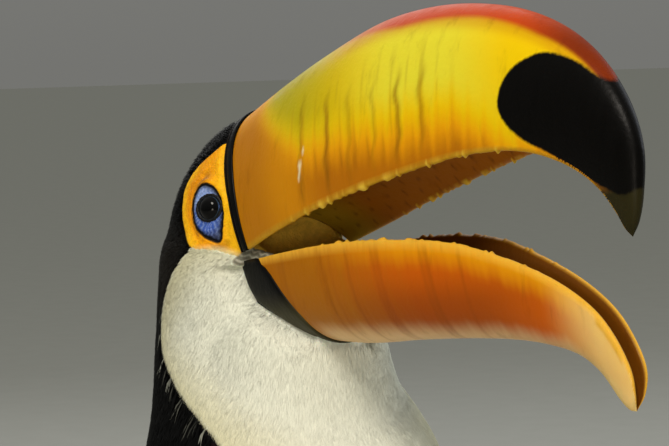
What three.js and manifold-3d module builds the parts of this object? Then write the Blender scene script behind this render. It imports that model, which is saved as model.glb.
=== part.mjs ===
// A toco toucan, life size, standing with its bill raised and parted.
// Millimetres. +X is the way the bird faces, +Y its left side, +Z up; the floor is z = 0.
import * as THREE from 'three';
import { mergeVertices } from 'three/addons/utils/BufferGeometryUtils.js';
import Module from 'manifold-3d';

const wasm = await Module();
wasm.setup();

const { degToRad } = THREE.MathUtils;

// ---------------------------------------------------------------- driving dimensions

const GAP = 0.3; // left between pieces that meet face to face
const SIDES = { left: 1, right: -1 };

// Posture
const GAPE_HEIGHT = 300; // corner of the mouth above the floor
const HEAD_PITCH = degToRad(17.5); // the bill's cutting edge above level
const JAW_PIVOT = new THREE.Vector3(-27, 0, -4); // in the head's frame
const JAW_OPENING = degToRad(14);

// Upper bill, in the head's frame, from its base to the hook.
// Each row: ridge x, ridge z, cutting edge x, cutting edge z, half width.
const UPPER_BILL = [
  [-4.5, 48.8, 0.5, -0.5, 22.0],
  [25, 50.8, 24, 0.0, 23.5],
  [53, 51.9, 51, 0.2, 23.0],
  [82, 51.5, 77, -0.8, 21.1],
  [108, 46.9, 100, -2.3, 18.4],
  [131, 39.4, 119, -4.2, 15.8],
  [150, 30.4, 135, -7.2, 13.6],
  [166, 19.2, 148, -11.5, 11.3],
  [177.5, 6.5, 158, -16.9, 9.2],
  [185, -8.2, 166, -23.3, 7.1],
  [187, -21.9, 171.4, -30.3, 5.1],
  [183.5, -33.7, 174.2, -37.6, 3.3],
];
const UPPER_TIP = [175.5, -45.5];
const PALATE_RISE = 0.2; // of the section's height
const UPPER_WALL = 2.4; // across the cutting edge
const UPPER_EDGE_ANGLE = degToRad(106); // where the side's curve ends, below its widest line

// Lower bill, in the jaw's frame. Each row: cutting edge x, z, keel x, z, half width.
const LOWER_BILL = [
  [-14, 0.7, -14, -21.7, 19.2],
  [10, 3.2, 10, -25.1, 19.2],
  [40, 5.8, 40, -26.6, 18.0],
  [72, 6.6, 70, -25.3, 15.5],
  [102, 4.8, 98, -24.6, 11.0],
  [127, -0.7, 121, -24.8, 7.6],
  [147, -7.1, 138, -26.2, 5.8],
  [162.2, -14.5, 152.2, -29.0, 4.6],
  [171.5, -22.4, 162.3, -34.2, 4.0],
  [178, -32.1, 170, -41.4, 3.4],
];
const LOWER_TIP = [176.3, -43.8];
const TROUGH_DEPTH = 0.5; // of the section's height
const LOWER_WALL = 2.6;

// Black bands at the bill's base
const BAND_LENGTH = 5.2;
const BAND_RISE = 0.5; // proud of the bill
const LOWER_BAND = { rear: [[-12.4, 0], [12, -26]], front: [[3.5, 2], [24, -25]] }; // x, z pairs

// Serrations of the upper bill's cutting edges
const SERRATION = { from: 12, to: 146, pitch: 7, length: 6, depth: 1.0, width: 2.0 };

// Skin across the corners of the mouth: a rounded plug, hollowed from the front
const GAPE = {
  centre: [-6, 0, -4],
  half: [14.5, 20.2, 12],
  hollowCentre: [9, 0, -4],
  hollowHalf: [20, 18.2, 16],
};

// Head, in the head's frame. Each row: x, top z, bottom z, half width.
const HEAD = [
  [-6, 47.8, -16, 22.3],
  [-15, 48.2, -20, 24.2],
  [-27, 45.6, -22, 26.6],
  [-38, 39.8, -22, 27.0],
  [-48, 30.5, -18, 24.5],
  [-55.5, 17.0, -10, 17.5],
];
const HEAD_BACK = [-59.5, 4];

// Eye, in the head's frame
const EYE = { x: -15, z: 17.5, depth: 21, radius: 6.3 };
const ORBIT = { depth: 20.5, half: [8.4, 5.4, 10.2] }; // the cushion of bare skin round it
// Its lids: radius of the opening, of the fold, how far proud of the head, turned forwards
const LID = { radius: 4.6, fold: 1.0, proud: 1.2, turn: 0.16 };
const NOSTRIL = { x: -7.7, y: 8.5, z: 46.3, length: 5, width: 1.6, depth: 3 };

// Tongue, in the jaw's frame: a long thin blade lying in the lower bill
const TONGUE = { from: -9, to: 128, halfWidth: 4.2, thickness: 1.8, rise: -3.5 };

// Neck and body down to the root of the tail, in the bird's frame with x = 0 at the gape.
// Each row: x, z, half depth, half width, and how far the section leans back, in degrees.
const BODY = [
  [-33, 314, 22, 21, 0],
  [-32, 295, 34, 31, 0],
  [-29, 267, 39.5, 35, 2],
  [-9, 234, 50.5, 47.5, 8],
  [-10, 203, 57, 54.5, 16],
  [-22, 170, 60, 57, 28],
  [-47, 138, 52, 51, 42],
  [-74, 114, 39, 41, 52],
  [-98, 98, 26, 31, 57],
  [-118, 88, 18, 24, 60],
  [-150, 71, 13, 25, 61],
  [-190, 50, 9, 24, 62],
];
// The throat, filled out between the chin and the breast: x, z, half depth, half width
const THROAT = [
  [-14, 284, 30, 19],
  [-10, 272, 35.5, 28.5],
  [-11, 258, 38.5, 33],
  [-12.5, 244, 42, 38],
  [-12, 224, 46, 44],
];
const NECK_CUT = { x: -10, z: 274, tilt: degToRad(6) };
const TORSO_CUT = { x: -8, z: 233, tilt: degToRad(4) };
const TORSO_END = 9; // the row where the torso ends and the tail begins

// Feathers are vanes, thickest along the shaft. Each outline gives stations from root to tip:
// the part of the vane's length, and the part of its half width there.
const VANE = { shaft: 1.2, edge: 0.6 }; // thickness
const FLIGHT_OUTLINE = [[0, 0.45], [0.6, 1], [0.93, 0.8], [1, 0.3]];
const COVERT_OUTLINE = [[0, 0.5], [0.6, 1], [0.9, 0.8], [1, 0.35]];
const SHINGLE = Math.tan(degToRad(8.5)); // how each vane of a wing tilts over the next
const VARY = { length: 0.03, width: 0.05 }; // how much like feathers differ
const SEED = 41;

// Tail, in its own frame: x backwards along the tail, z out of the back
const TAIL_DROP = degToRad(30);
const TAIL = { length: 146, middle: 3, halfThick: 4.6, rootHalf: 18, endHalf: 38 };
const TAIL_CORE = 0.35; // of its length
// The tail's vanes, from the middle pair out; `next` is what each pair adds to the one inside it
const TAIL_VANE = { pairs: 5, from: 22, halfWidth: 12, rootY: 3, tipY: 7, z: 5.7 };
const TAIL_NEXT = { rootY: 2.6, tipY: 4.3, z: -1.4, length: -3.5 };
const TAIL_LAP = 1.2; // one of the middle pair lies this far over the other
// Coverts above and below the tail's root: a core, then two tiers of vanes
const UPPER_COVERTS = { length: 66, halfWidth: 21, thick: 9 };
const UNDER_COVERTS = { length: 80, halfWidth: 19, thick: 13 };
const COVERT_TIERS = [
  // from, to: of the length; root, tip: height off the tail, of the thickness and in mm
  { count: 4, from: 0.2, to: 1, root: 0.3, tip: 1.0 },
  { count: 3, from: 0.08, to: 0.68, root: 0.55, tip: 3.6 },
];
const COVERT_VANE = { halfWidth: 7, stack: 1.4, shorter: 0.12 };

// Wings lie along the body: s counts rows of BODY, angles are from the back's midline.
// The covered front of the wing: s, angle of the upper edge, of the lower edge, height.
const WING = [
  [2.95, 66, 98, 2.0],
  [3.4, 46, 116, 6.5],
  [4.3, 30, 122, 8.0],
  [5.4, 20, 114, 8.0],
  [6.2, 16, 105, 5.5],
  [6.7, 15, 98, 2.2],
];
const WING_BED = 16; // how far its root reaches into the body before it is cut to fit
// Its vanes in tiers, each from the uppermost vane to the lowest. Each vane's root and tip:
// s, angle, height above the body.
const WING_TIERS = [
  {
    outline: COVERT_OUTLINE,
    count: 6,
    halfWidth: 10,
    upper: [[5.0, 27, 5.6], [6.7, 21, 9.8]],
    lower: [[5.0, 104, 5.6], [6.3, 97, 8.6]],
  },
  {
    outline: FLIGHT_OUTLINE,
    count: 6,
    halfWidth: 10.5,
    upper: [[5.6, 23, 4.2], [8.8, 18, 9.6]],
    lower: [[5.6, 98, 4.2], [9.2, 61, 5.0]],
  },
  {
    outline: FLIGHT_OUTLINE,
    count: 5,
    halfWidth: 9.5,
    upper: [[6.0, 44, 2.2], [10.35, 30, 6.0]],
    lower: [[6.0, 102, 2.2], [8.7, 78, 3.0]],
  },
];

// Legs
const THIGH = [
  // x, y, z, half depth, half width
  [-30, 27, 122, 24, 19],
  [-37, 29, 96, 18, 15],
  [-43, 30.5, 76, 11, 10],
  [-44, 31, 61, 6.5, 6],
];
const HEEL = { x: -44, y: 31, z: 64 };
const FOOT = { x: -22, y: 31, z: 7 };
const TARSUS_RADIUS = 3.9;
const TOES = [
  // turn: from straight ahead, outwards; root and end: radii; claw: its length
  { name: 'outer_front', turn: degToRad(13), length: 42, root: 4.3, end: 3.1, claw: 13 },
  { name: 'inner_front', turn: degToRad(-13), length: 30, root: 4.0, end: 2.9, claw: 11 },
  { name: 'outer_rear', turn: degToRad(160), length: 37, root: 4.1, end: 3.0, claw: 12 },
  { name: 'inner_rear', turn: degToRad(-163), length: 23, root: 3.7, end: 2.7, claw: 9 },
];
const TOE_FLAT = 0.5; // worn off each sole, so that it rests on a flat

// ---------------------------------------------------------------- materials

const finish = (color, roughness, metalness = 0) =>
  new THREE.MeshStandardMaterial({ color, roughness, metalness });

const MATERIAL = {
  upperHorn: finish('#e8951c', 0.35),
  lowerHorn: finish('#e8871d', 0.35),
  blackHorn: finish('#15120f', 0.4),
  blackFeather: finish('#14130f', 0.8),
  whiteFeather: finish('#efeadb', 0.85),
  redFeather: finish('#b3261b', 0.85),
  tongue: finish('#4a3527', 0.5),
  eye: finish('#0d0a0a', 0.05),
  leg: finish('#6d7f92', 0.6),
  claw: finish('#1b1a1a', 0.4),
};

// ---------------------------------------------------------------- frames

const bird = new THREE.Group();
const headFrame = new THREE.Group();
headFrame.position.set(0, 0, GAPE_HEIGHT);
headFrame.rotation.y = -HEAD_PITCH;
const jawFrame = new THREE.Group();
jawFrame.position.copy(JAW_PIVOT);
jawFrame.rotation.y = JAW_OPENING;
headFrame.add(jawFrame);
bird.add(headFrame);
bird.updateMatrixWorld(true);

const HEAD_MATRIX = headFrame.matrixWorld;
const JAW_MATRIX = jawFrame.matrixWorld
  .clone()
  .multiply(new THREE.Matrix4().makeTranslation(JAW_PIVOT.clone().negate()));

// ---------------------------------------------------------------- shape tools

const { lerp } = THREE.MathUtils;
const vec = (x, y, z) => new THREE.Vector3(x, y, z);

// Smooth values between the rows of a table; t counts rows.
function track(rows) {
  const places = rows.map((_, row) => row);
  const curve = new THREE.CubicInterpolant(places, rows.flat(), rows[0].length);
  return (t) => Array.from(curve.evaluate(t));
}

// The t at which one column of a track, which runs one way only, reaches a value.
function reach(at, last, column, value) {
  const rising = at(last)[column] > at(0)[column];
  let low = 0;
  let high = last;
  for (let halving = 0; halving < 24; halving++) {
    const middle = (low + high) / 2;
    if (at(middle)[column] < value === rising) low = middle;
    else high = middle;
  }
  return low;
}

// Repeatable numbers from -1 to 1.
function seeded(seed) {
  let state = seed;
  return () => {
    state = (state * 16807) % 2147483647;
    return (2 * state) / 2147483647 - 1;
  };
}

// A closed geometry as a solid in the bird's frame, with its faces turned outwards.
function solid(geometry, matrix = new THREE.Matrix4()) {
  let bare = geometry.clone().applyMatrix4(matrix);
  bare.deleteAttribute('normal');
  bare.deleteAttribute('uv');
  bare = mergeVertices(bare, 1e-4);
  const make = (triVerts) =>
    new wasm.Manifold(
      new wasm.Mesh({ numProp: 3, vertProperties: bare.attributes.position.array, triVerts }),
    );
  const faces = new Uint32Array(bare.index.array);
  const made = make(faces);
  return made.volume() > 0 ? made : make(faces.reverse());
}

// Rings of equal count joined in order. Each end is closed by a fan to its tip or its middle,
// or, in a hoop, the last ring is joined to the first.
function loft(rings, startTip, endTip, hoop = false) {
  const count = rings[0].length;
  const points = rings.flat();
  const faces = [];
  for (let r = 0; r < rings.length - (hoop ? 0 : 1); r++) {
    const next = ((r + 1) % rings.length) * count;
    for (let i = 0; i < count; i++) {
      const beside = (i + 1) % count;
      faces.push(r * count + i, r * count + beside, next + beside);
      faces.push(r * count + i, next + beside, next + i);
    }
  }
  const close = (ring, tip, first, turned) => {
    const middle = ring.reduce((sum, p) => sum.add(p), vec(0, 0, 0)).divideScalar(count);
    points.push(tip ?? middle);
    for (let i = 0; i < count; i++) {
      const a = first + i;
      const b = first + ((i + 1) % count);
      faces.push(points.length - 1, turned ? b : a, turned ? a : b);
    }
  };
  if (!hoop) {
    close(rings[0], startTip, 0, true);
    close(rings.at(-1), endTip, (rings.length - 1) * count, false);
  }
  const geometry = new THREE.BufferGeometry().setFromPoints(points);
  geometry.setIndex(faces);
  return geometry;
}

// A superellipse round a centre: halfUp along `up`, halfSide along `side`.
function oval(centre, up, side, halfUp, halfSide, count = 24, power = 2.2) {
  const bend = (value) => Math.sign(value) * Math.abs(value) ** (2 / power);
  return Array.from({ length: count }, (_, i) => {
    const angle = (2 * Math.PI * i) / count;
    return centre
      .clone()
      .addScaledVector(up, halfUp * bend(Math.cos(angle)))
      .addScaledVector(side, halfSide * bend(Math.sin(angle)));
  });
}

// Everything behind a plane, `beyond` short of it, as one big block.
function behind(point, normal, beyond = 0) {
  const size = 1200;
  const block = new THREE.BoxGeometry(size, size, size).translate(0, 0, -size / 2 - beyond);
  block.applyQuaternion(new THREE.Quaternion().setFromUnitVectors(vec(0, 0, 1), normal));
  block.translate(point.x, point.y, point.z);
  return solid(block);
}

const join = (solids) => solids.reduce((sum, next) => sum.add(next));

// The largest closed surface of a solid.
function largest(made) {
  return made.decompose().reduce((best, next) => (next.volume() > best.volume() ? next : best));
}

// A named mesh of a solid, brought into its group's frame.
function place(name, made, material, group = bird) {
  const { numProp, vertProperties, triVerts } = largest(made).getMesh();
  const geometry = new THREE.BufferGeometry();
  geometry.setAttribute('position', new THREE.BufferAttribute(vertProperties, numProp));
  geometry.setIndex(new THREE.BufferAttribute(triVerts, 1));
  group.updateMatrixWorld(true);
  geometry.applyMatrix4(group.matrixWorld.clone().invert());
  geometry.computeVertexNormals();
  const mesh = new THREE.Mesh(geometry, material);
  mesh.name = name;
  group.add(mesh);
}

// Rings of a round tube along a curve, its radius running evenly from `root` to `end`.
function taper(curve, root, end, steps = 6, count = 8) {
  const side = vec(0, 1, 0);
  return Array.from({ length: steps + 1 }, (_, k) => {
    const along = curve.getTangentAt(k / steps);
    const across = side.clone().addScaledVector(along, -side.dot(along)).normalize();
    const radius = lerp(root, end, k / steps);
    return oval(curve.getPointAt(k / steps), across.clone().cross(along), across, radius, radius, count, 2);
  });
}

// An ellipsoid as a solid in the head's frame.
function ellipsoid(centre, half, across = 16, high = 10) {
  const ball = new THREE.SphereGeometry(1, across, high).scale(...half).translate(...centre);
  return solid(ball, HEAD_MATRIX);
}

// A feather's vane. `at(t, y, lift)` is the place t along it, y across it and lifted off it.
// Both faces are split into triangles alike.
function vane(outline, at, halfWidth, matrix) {
  const points = [];
  for (const face of [0.5, -0.5]) {
    for (const [t, width] of outline) {
      for (const side of [-1, 0, 1]) {
        const thick = side === 0 ? VANE.shaft : VANE.edge;
        points.push(at(t, side * width * halfWidth, face * thick));
      }
    }
  }
  const rows = outline.length;
  const layer = rows * 3;
  const faces = [];
  const quad = (a, b, c, d) => faces.push(a, b, c, a, c, d);
  for (let row = 0; row + 1 < rows; row++) {
    for (const a of [3 * row, 3 * row + 1]) {
      quad(a, a + 1, a + 4, a + 3);
      quad(layer + a, layer + a + 3, layer + a + 4, layer + a + 1);
    }
  }
  const near = outline.map((_, row) => 3 * row);
  const far = near.map((first) => first + 2).reverse();
  const rim = [...near, layer - 2, ...far, 1];
  rim.forEach((p, k) => {
    const q = rim[(k + 1) % rim.length];
    quad(p, q, q + layer, p + layer);
  });
  const geometry = new THREE.BufferGeometry().setFromPoints(points);
  geometry.setIndex(faces);
  return solid(geometry, matrix);
}

// ---------------------------------------------------------------- bill

const upperAt = track(UPPER_BILL);
const lowerAt = track(LOWER_BILL);

// One section of the upper bill: the outside from edge to edge over the ridge, then the palate.
function upperSection(t, grow = 0) {
  const [ridgeX, ridgeZ, edgeX, edgeZ, halfWidth] = upperAt(t);
  const edge = vec(edgeX, 0, edgeZ);
  const up = vec(ridgeX - edgeX, 0, ridgeZ - edgeZ);
  const height = up.length() + grow;
  up.normalize();
  const half = halfWidth + grow;
  const outer = 8;
  const inner = 3;
  const wall = Math.min(UPPER_WALL, 0.45 * half);
  const points = [];
  const add = (across, rise) =>
    points.push(edge.clone().addScaledVector(up, rise - grow).add(vec(0, across, 0)));
  for (let i = -outer; i <= outer; i++) {
    const angle = (UPPER_EDGE_ANGLE * i) / outer;
    const drop = (Math.cos(angle) - Math.cos(UPPER_EDGE_ANGLE)) / (1 - Math.cos(UPPER_EDGE_ANGLE));
    add(half * Math.sign(i) * Math.abs(Math.sin(angle)) ** 0.88, (height + grow) * drop);
  }
  const rim = half * Math.sin(UPPER_EDGE_ANGLE) ** 0.88 - wall - 2 * grow;
  for (let i = inner; i >= -inner; i--) {
    const across = (rim * i) / inner;
    add(across, PALATE_RISE * height * (1 - (i / inner) ** 2) + 0.4);
  }
  return points;
}

// One section of the lower bill: the outside from edge to edge round the keel, then the trough.
function lowerSection(t, grow = 0) {
  const [edgeX, edgeZ, keelX, keelZ, halfWidth] = lowerAt(t);
  const edge = vec(edgeX, 0, edgeZ);
  const down = vec(keelX - edgeX, 0, keelZ - edgeZ);
  const height = down.length();
  down.normalize();
  const half = halfWidth + grow;
  const outer = 6;
  const inner = 3;
  const wall = Math.min(LOWER_WALL, 0.45 * half);
  const points = [];
  const add = (across, drop) =>
    points.push(edge.clone().addScaledVector(down, drop).add(vec(0, across, 0)));
  for (let i = -outer; i <= outer; i++) {
    const angle = ((Math.PI / 2) * i) / outer;
    add(half * Math.sin(angle) ** 1, -grow + (height + 2 * grow) * Math.cos(angle) ** 0.75);
  }
  for (let i = inner; i >= -inner; i--) {
    const across = ((half - wall - 2 * grow) * i) / inner;
    add(across, TROUGH_DEPTH * height * (1 - (i / inner) ** 2) ** 0.6 + 0.4 - 2 * grow);
  }
  return points;
}

// The sections of a bill from row `from` to its last row.
function sections(section, rows, from, steps, grow = 0) {
  const last = rows.length - 1;
  return Array.from({ length: steps + 1 }, (_, k) =>
    section(lerp(from, last, k / steps), grow),
  );
}

// One serration of the upper bill's cutting edge, where the edge reaches x.
function serration(x, side) {
  const t = reach(upperAt, UPPER_BILL.length - 1, 2, x);
  const [, , edgeX, edgeZ, halfWidth] = upperAt(t);
  const across = side * (halfWidth * Math.sin(UPPER_EDGE_ANGLE) ** 0.88 - UPPER_WALL / 2);
  const tooth = new THREE.ConeGeometry(1, 2, 4).rotateX(-Math.PI / 2);
  tooth.scale(SERRATION.length / 2, SERRATION.width / 2, SERRATION.depth);
  return solid(tooth.translate(edgeX, across, edgeZ), HEAD_MATRIX);
}

const upperTip = vec(UPPER_TIP[0], 0, UPPER_TIP[1]);
const upperPieces = [
  solid(loft(sections(upperSection, UPPER_BILL, 0, 18), undefined, upperTip), HEAD_MATRIX),
];
for (const side of Object.values(SIDES)) {
  for (let x = SERRATION.from; x < SERRATION.to; x += SERRATION.pitch)
    upperPieces.push(serration(x, side));
}
place('bill_upper', join(upperPieces), MATERIAL.upperHorn, headFrame);

// The black band round the base, filled, between the bill and the face.
const bandSolid = (from, to, grow) =>
  solid(
    loft([from, to].map((x) => upperSection(0, grow).map((p) => p.clone().add(vec(x, 0, 0))))),
    HEAD_MATRIX,
  );
const upperBand = bandSolid(-GAP - BAND_LENGTH, -GAP, BAND_RISE);
place('bill_band_upper', upperBand, MATERIAL.blackHorn, headFrame);

// A cut across the jaw through two points of its side view, keeping what lies behind.
function behindLine([[x1, z1], [x2, z2]], beyond) {
  const normal = vec(-(z2 - z1), 0, x2 - x1).normalize();
  const turned = normal.clone().transformDirection(JAW_MATRIX);
  return behind(vec(x1, 0, z1).applyMatrix4(JAW_MATRIX), turned, beyond);
}

const jawSolid = (grow) =>
  solid(
    loft(sections(lowerSection, LOWER_BILL, 0, 16, grow), undefined, vec(LOWER_TIP[0], 0, LOWER_TIP[1])),
    JAW_MATRIX,
  );
const jawBehindFront = behindLine(LOWER_BAND.front, -GAP);
const jawBehindBand = behindLine(LOWER_BAND.front, 0);
const jawBehindRear = behindLine(LOWER_BAND.rear, 0);
const jaw = jawSolid(0);
place('bill_lower', jaw.subtract(jawBehindFront), MATERIAL.lowerHorn, jawFrame);
const lowerBand = jawSolid(BAND_RISE).intersect(jawBehindBand).subtract(jawBehindRear);
place('bill_band_lower', lowerBand, MATERIAL.blackHorn, jawFrame);

// ---------------------------------------------------------------- body

const bodyAt = track(BODY);

// The frame of one section of the body: its middle, the way to the back, and its half sizes.
function bodyFrame(s) {
  const [x, z, halfDepth, halfWidth, lean] = bodyAt(s);
  const down = vec(-Math.sin(degToRad(lean)), 0, -Math.cos(degToRad(lean)));
  const back = vec(down.z, 0, -down.x);
  return { middle: vec(x, 0, z), down, back, halfDepth, halfWidth };
}

// The body between two rows, its skin moved out by `grow`.
function bodySolid(from, to, steps, grow = 0) {
  const rings = Array.from({ length: steps + 1 }, (_, k) => {
    const { middle, down, back, halfDepth, halfWidth } = bodyFrame(from + ((to - from) * k) / steps);
    if (k === steps) middle.addScaledVector(down, grow);
    return oval(middle, back, vec(0, 1, 0), halfDepth + grow, halfWidth + grow);
  });
  return solid(loft(rings));
}

// The head from the bill's band to the back of the skull.
const headAt = track(HEAD);
const HEAD_POWER = 2.2;
function headSolid(grow = 0) {
  const steps = 9;
  const rings = Array.from({ length: steps + 1 }, (_, k) => {
    const [x, top, bottom, halfWidth] = headAt(((HEAD.length - 1) * k) / steps);
    const middle = vec(x + (k === 0 ? grow : 0), 0, (top + bottom) / 2);
    const halfHeight = (top - bottom) / 2 + grow;
    return oval(middle, vec(0, 0, 1), vec(0, 1, 0), halfHeight, halfWidth + grow, 24, HEAD_POWER);
  });
  return solid(loft(rings, undefined, vec(HEAD_BACK[0] - grow, 0, HEAD_BACK[1])), HEAD_MATRIX);
}

// How far out the side of the head lies at a place in its side view.
function headSide(x, z) {
  const [, top, bottom, halfWidth] = headAt(reach(headAt, HEAD.length - 1, 0, x));
  const rise = Math.abs(z - (top + bottom) / 2) / ((top - bottom) / 2);
  return halfWidth * (1 - rise ** HEAD_POWER) ** (1 / HEAD_POWER);
}

const eyeball = (side, grow = 0) => {
  const radius = EYE.radius + grow;
  return ellipsoid([EYE.x, side * EYE.depth, EYE.z], [radius, radius, radius], 14, 8);
};

// The bare skin round the eye on one side of the head, with the lids' fold.
function orbit(side) {
  const steps = 14;
  const path = Array.from({ length: steps }, (_, k) => {
    const angle = (2 * Math.PI * k) / steps;
    const ahead = LID.radius * Math.cos(angle);
    const z = EYE.z + LID.radius * Math.sin(angle);
    const out = headSide(EYE.x + ahead, z) + LID.proud - LID.turn * ahead;
    return vec(EYE.x + ahead, side * out, z);
  });
  const out = vec(0, side, 0);
  const rings = path.map((point, k) => {
    const along = path[(k + 1) % steps].clone().sub(path[(k + steps - 1) % steps]);
    return oval(point, out, along.cross(out).normalize(), LID.fold, LID.fold, 5, 2);
  });
  const lids = solid(loft(rings, undefined, undefined, true), HEAD_MATRIX);
  return lids.add(ellipsoid([EYE.x, side * ORBIT.depth, EYE.z], ORBIT.half, 16, 8));
}

function nostril(side) {
  const half = [NOSTRIL.width / 2, NOSTRIL.length / 2, NOSTRIL.depth / 2];
  return ellipsoid([NOSTRIL.x, side * NOSTRIL.y, NOSTRIL.z], half, 8, 6);
}

const gapeSkin = ellipsoid(GAPE.centre, GAPE.half).subtract(
  ellipsoid(GAPE.hollowCentre, GAPE.hollowHalf),
);

const chin = jawSolid(0.8).intersect(behindLine(LOWER_BAND.rear, GAP));
const throat = solid(
  loft(
    THROAT.map(([x, z, halfDepth, halfWidth]) =>
      oval(vec(x, 0, z), vec(1, 0, 0), vec(0, 1, 0), halfDepth, halfWidth),
    ),
  ),
);
const flesh = join([headSolid(), bodySolid(0, TORSO_END, 22), chin, throat, gapeSkin]);

const cutNormal = (tilt) => vec(Math.sin(tilt), 0, Math.cos(tilt));
const belowNeckCut = (grow) =>
  behind(vec(NECK_CUT.x, 0, NECK_CUT.z), cutNormal(NECK_CUT.tilt), -grow);
const belowTorsoCut = (grow) =>
  behind(vec(TORSO_CUT.x, 0, TORSO_CUT.z), cutNormal(TORSO_CUT.tilt), -grow);

const grownUpperBand = bandSolid(-2 * GAP - BAND_LENGTH, 10, BAND_RISE + GAP);
const openMouth = jawSolid(BAND_RISE + GAP).subtract(behindLine(LOWER_BAND.rear, GAP));
let headOnly = flesh.subtract(belowNeckCut(GAP)).subtract(grownUpperBand).subtract(openMouth);
for (const [name, side] of Object.entries(SIDES)) {
  headOnly = headOnly
    .add(orbit(side))
    .subtract(grownUpperBand)
    .subtract(eyeball(side, GAP))
    .subtract(nostril(side));
  place(`eye_${name}`, eyeball(side), MATERIAL.eye, headFrame);
}
place('head', headOnly, MATERIAL.blackFeather, headFrame);

const neck = flesh.intersect(belowNeckCut(0)).subtract(belowTorsoCut(GAP)).subtract(openMouth);
place('neck', neck, MATERIAL.whiteFeather);
const torso = flesh.intersect(belowTorsoCut(0));
place('torso', torso, MATERIAL.blackFeather);

// ---------------------------------------------------------------- tail

const tailFrame = new THREE.Group();
const rump = bodyFrame(TORSO_END);
tailFrame.position.copy(rump.middle);
tailFrame.rotation.set(0, -TAIL_DROP, Math.PI);
bird.add(tailFrame);
tailFrame.updateMatrixWorld(true);
const TAIL_MATRIX = tailFrame.matrixWorld;

// A flat tapered form along the tail; rows: x, middle z, half height, half width.
const tailForm = (rows, grow = 0) =>
  solid(
    loft(
      rows.map(([x, z, halfHeight, halfWidth], row) => {
        const end = row === 0 ? -grow : row === rows.length - 1 ? grow : 0;
        const middle = vec(x + end, 0, z);
        return oval(middle, vec(0, 0, 1), vec(0, 1, 0), halfHeight + grow, halfWidth + grow, 16);
      }),
    ),
    TAIL_MATRIX,
  );

const random = seeded(SEED);
const varied = (value, share) => value * (1 + share * random());

// A vane along the tail, from `root` to `tip`, both given in the tail's frame.
const tailVane = (outline, root, tip, halfWidth) =>
  vane(
    outline,
    (t, y, lift) => root.clone().lerp(tip, t).add(vec(0, y, lift)),
    halfWidth,
    TAIL_MATRIX,
  );

const { length: tailLength, middle: tailMiddle, halfThick } = TAIL;
const tailCore = tailForm([
  [GAP, tailMiddle, halfThick, TAIL.rootHalf],
  [tailLength * TAIL_CORE * 0.5, tailMiddle, halfThick, TAIL.rootHalf * 1.15],
  [tailLength * TAIL_CORE, tailMiddle, halfThick * 0.7, TAIL.rootHalf * 1.25],
]);
const tailPieces = [tailCore];
for (let pair = 0; pair < TAIL_VANE.pairs; pair++) {
  const z = TAIL_VANE.z + pair * TAIL_NEXT.z;
  const end = varied(tailLength + pair * TAIL_NEXT.length, VARY.length / 4);
  const rootY = TAIL_VANE.rootY + pair * TAIL_NEXT.rootY;
  const tipY = TAIL_VANE.tipY + pair * TAIL_NEXT.tipY;
  for (const side of Object.values(SIDES)) {
    const height = pair === 0 && side > 0 ? z + TAIL_LAP : z;
    const root = vec(TAIL_VANE.from, side * rootY, height);
    const tip = vec(end, side * tipY, height);
    tailPieces.push(tailVane(FLIGHT_OUTLINE, root, tip, TAIL_VANE.halfWidth));
  }
}
const grownBody = bodySolid(0, TORSO_END, 22, GAP);
place('tail', join(tailPieces).subtract(grownBody), MATERIAL.blackFeather, tailFrame);

// All that the tail reaches, with the gap round it.
const tailRoom = tailForm(
  [
    [0, tailMiddle, halfThick, TAIL.rootHalf],
    [tailLength * 0.5, tailMiddle, halfThick, TAIL.endHalf],
    [tailLength, tailMiddle, halfThick, TAIL.endHalf],
  ],
  GAP,
);

// The coverts above the tail (side 1) or below it (side -1).
function coverts({ length, halfWidth, thick }, side, grow = 0) {
  const face = side * (halfThick + GAP);
  const core = (part, share) => [
    length * part + GAP,
    tailMiddle + face + (side * thick * share) / 2,
    (thick * share) / 2,
    halfWidth,
  ];
  const pieces = [tailForm([core(0, 1), core(0.25, 0.75), core(0.48, 0.3)], grow)];
  for (const { count, from, to, root, tip } of COVERT_TIERS) {
    const pitch = (2 * (halfWidth - COVERT_VANE.halfWidth * 0.8)) / (count - 1);
    for (let k = 0; k < count; k++) {
      const off = k - (count - 1) / 2;
      const stack = COVERT_VANE.stack * (k % 2);
      const end = length * to * (1 - COVERT_VANE.shorter * Math.abs(off));
      const at = (x, height) =>
        vec(x, off * pitch, tailMiddle + face + side * (height + stack));
      const width = varied(COVERT_VANE.halfWidth, VARY.width) + grow;
      pieces.push(tailVane(COVERT_OUTLINE, at(length * from, thick * root), at(end, tip), width));
    }
  }
  return join(pieces);
}

const upperCoverts = coverts(UPPER_COVERTS, 1).subtract(tailRoom).subtract(grownBody);
place('uppertail_coverts', upperCoverts, MATERIAL.whiteFeather, tailFrame);
const underCoverts = coverts(UNDER_COVERTS, -1).subtract(tailRoom).subtract(grownBody);
place('undertail_coverts', underCoverts, MATERIAL.redFeather, tailFrame);

// ---------------------------------------------------------------- legs

const floor = behind(vec(0, 0, 0), vec(0, 0, 1));
const belowThigh = behind(vec(0, 0, THIGH.at(-1)[2] - GAP), vec(0, 0, 1));

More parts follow.
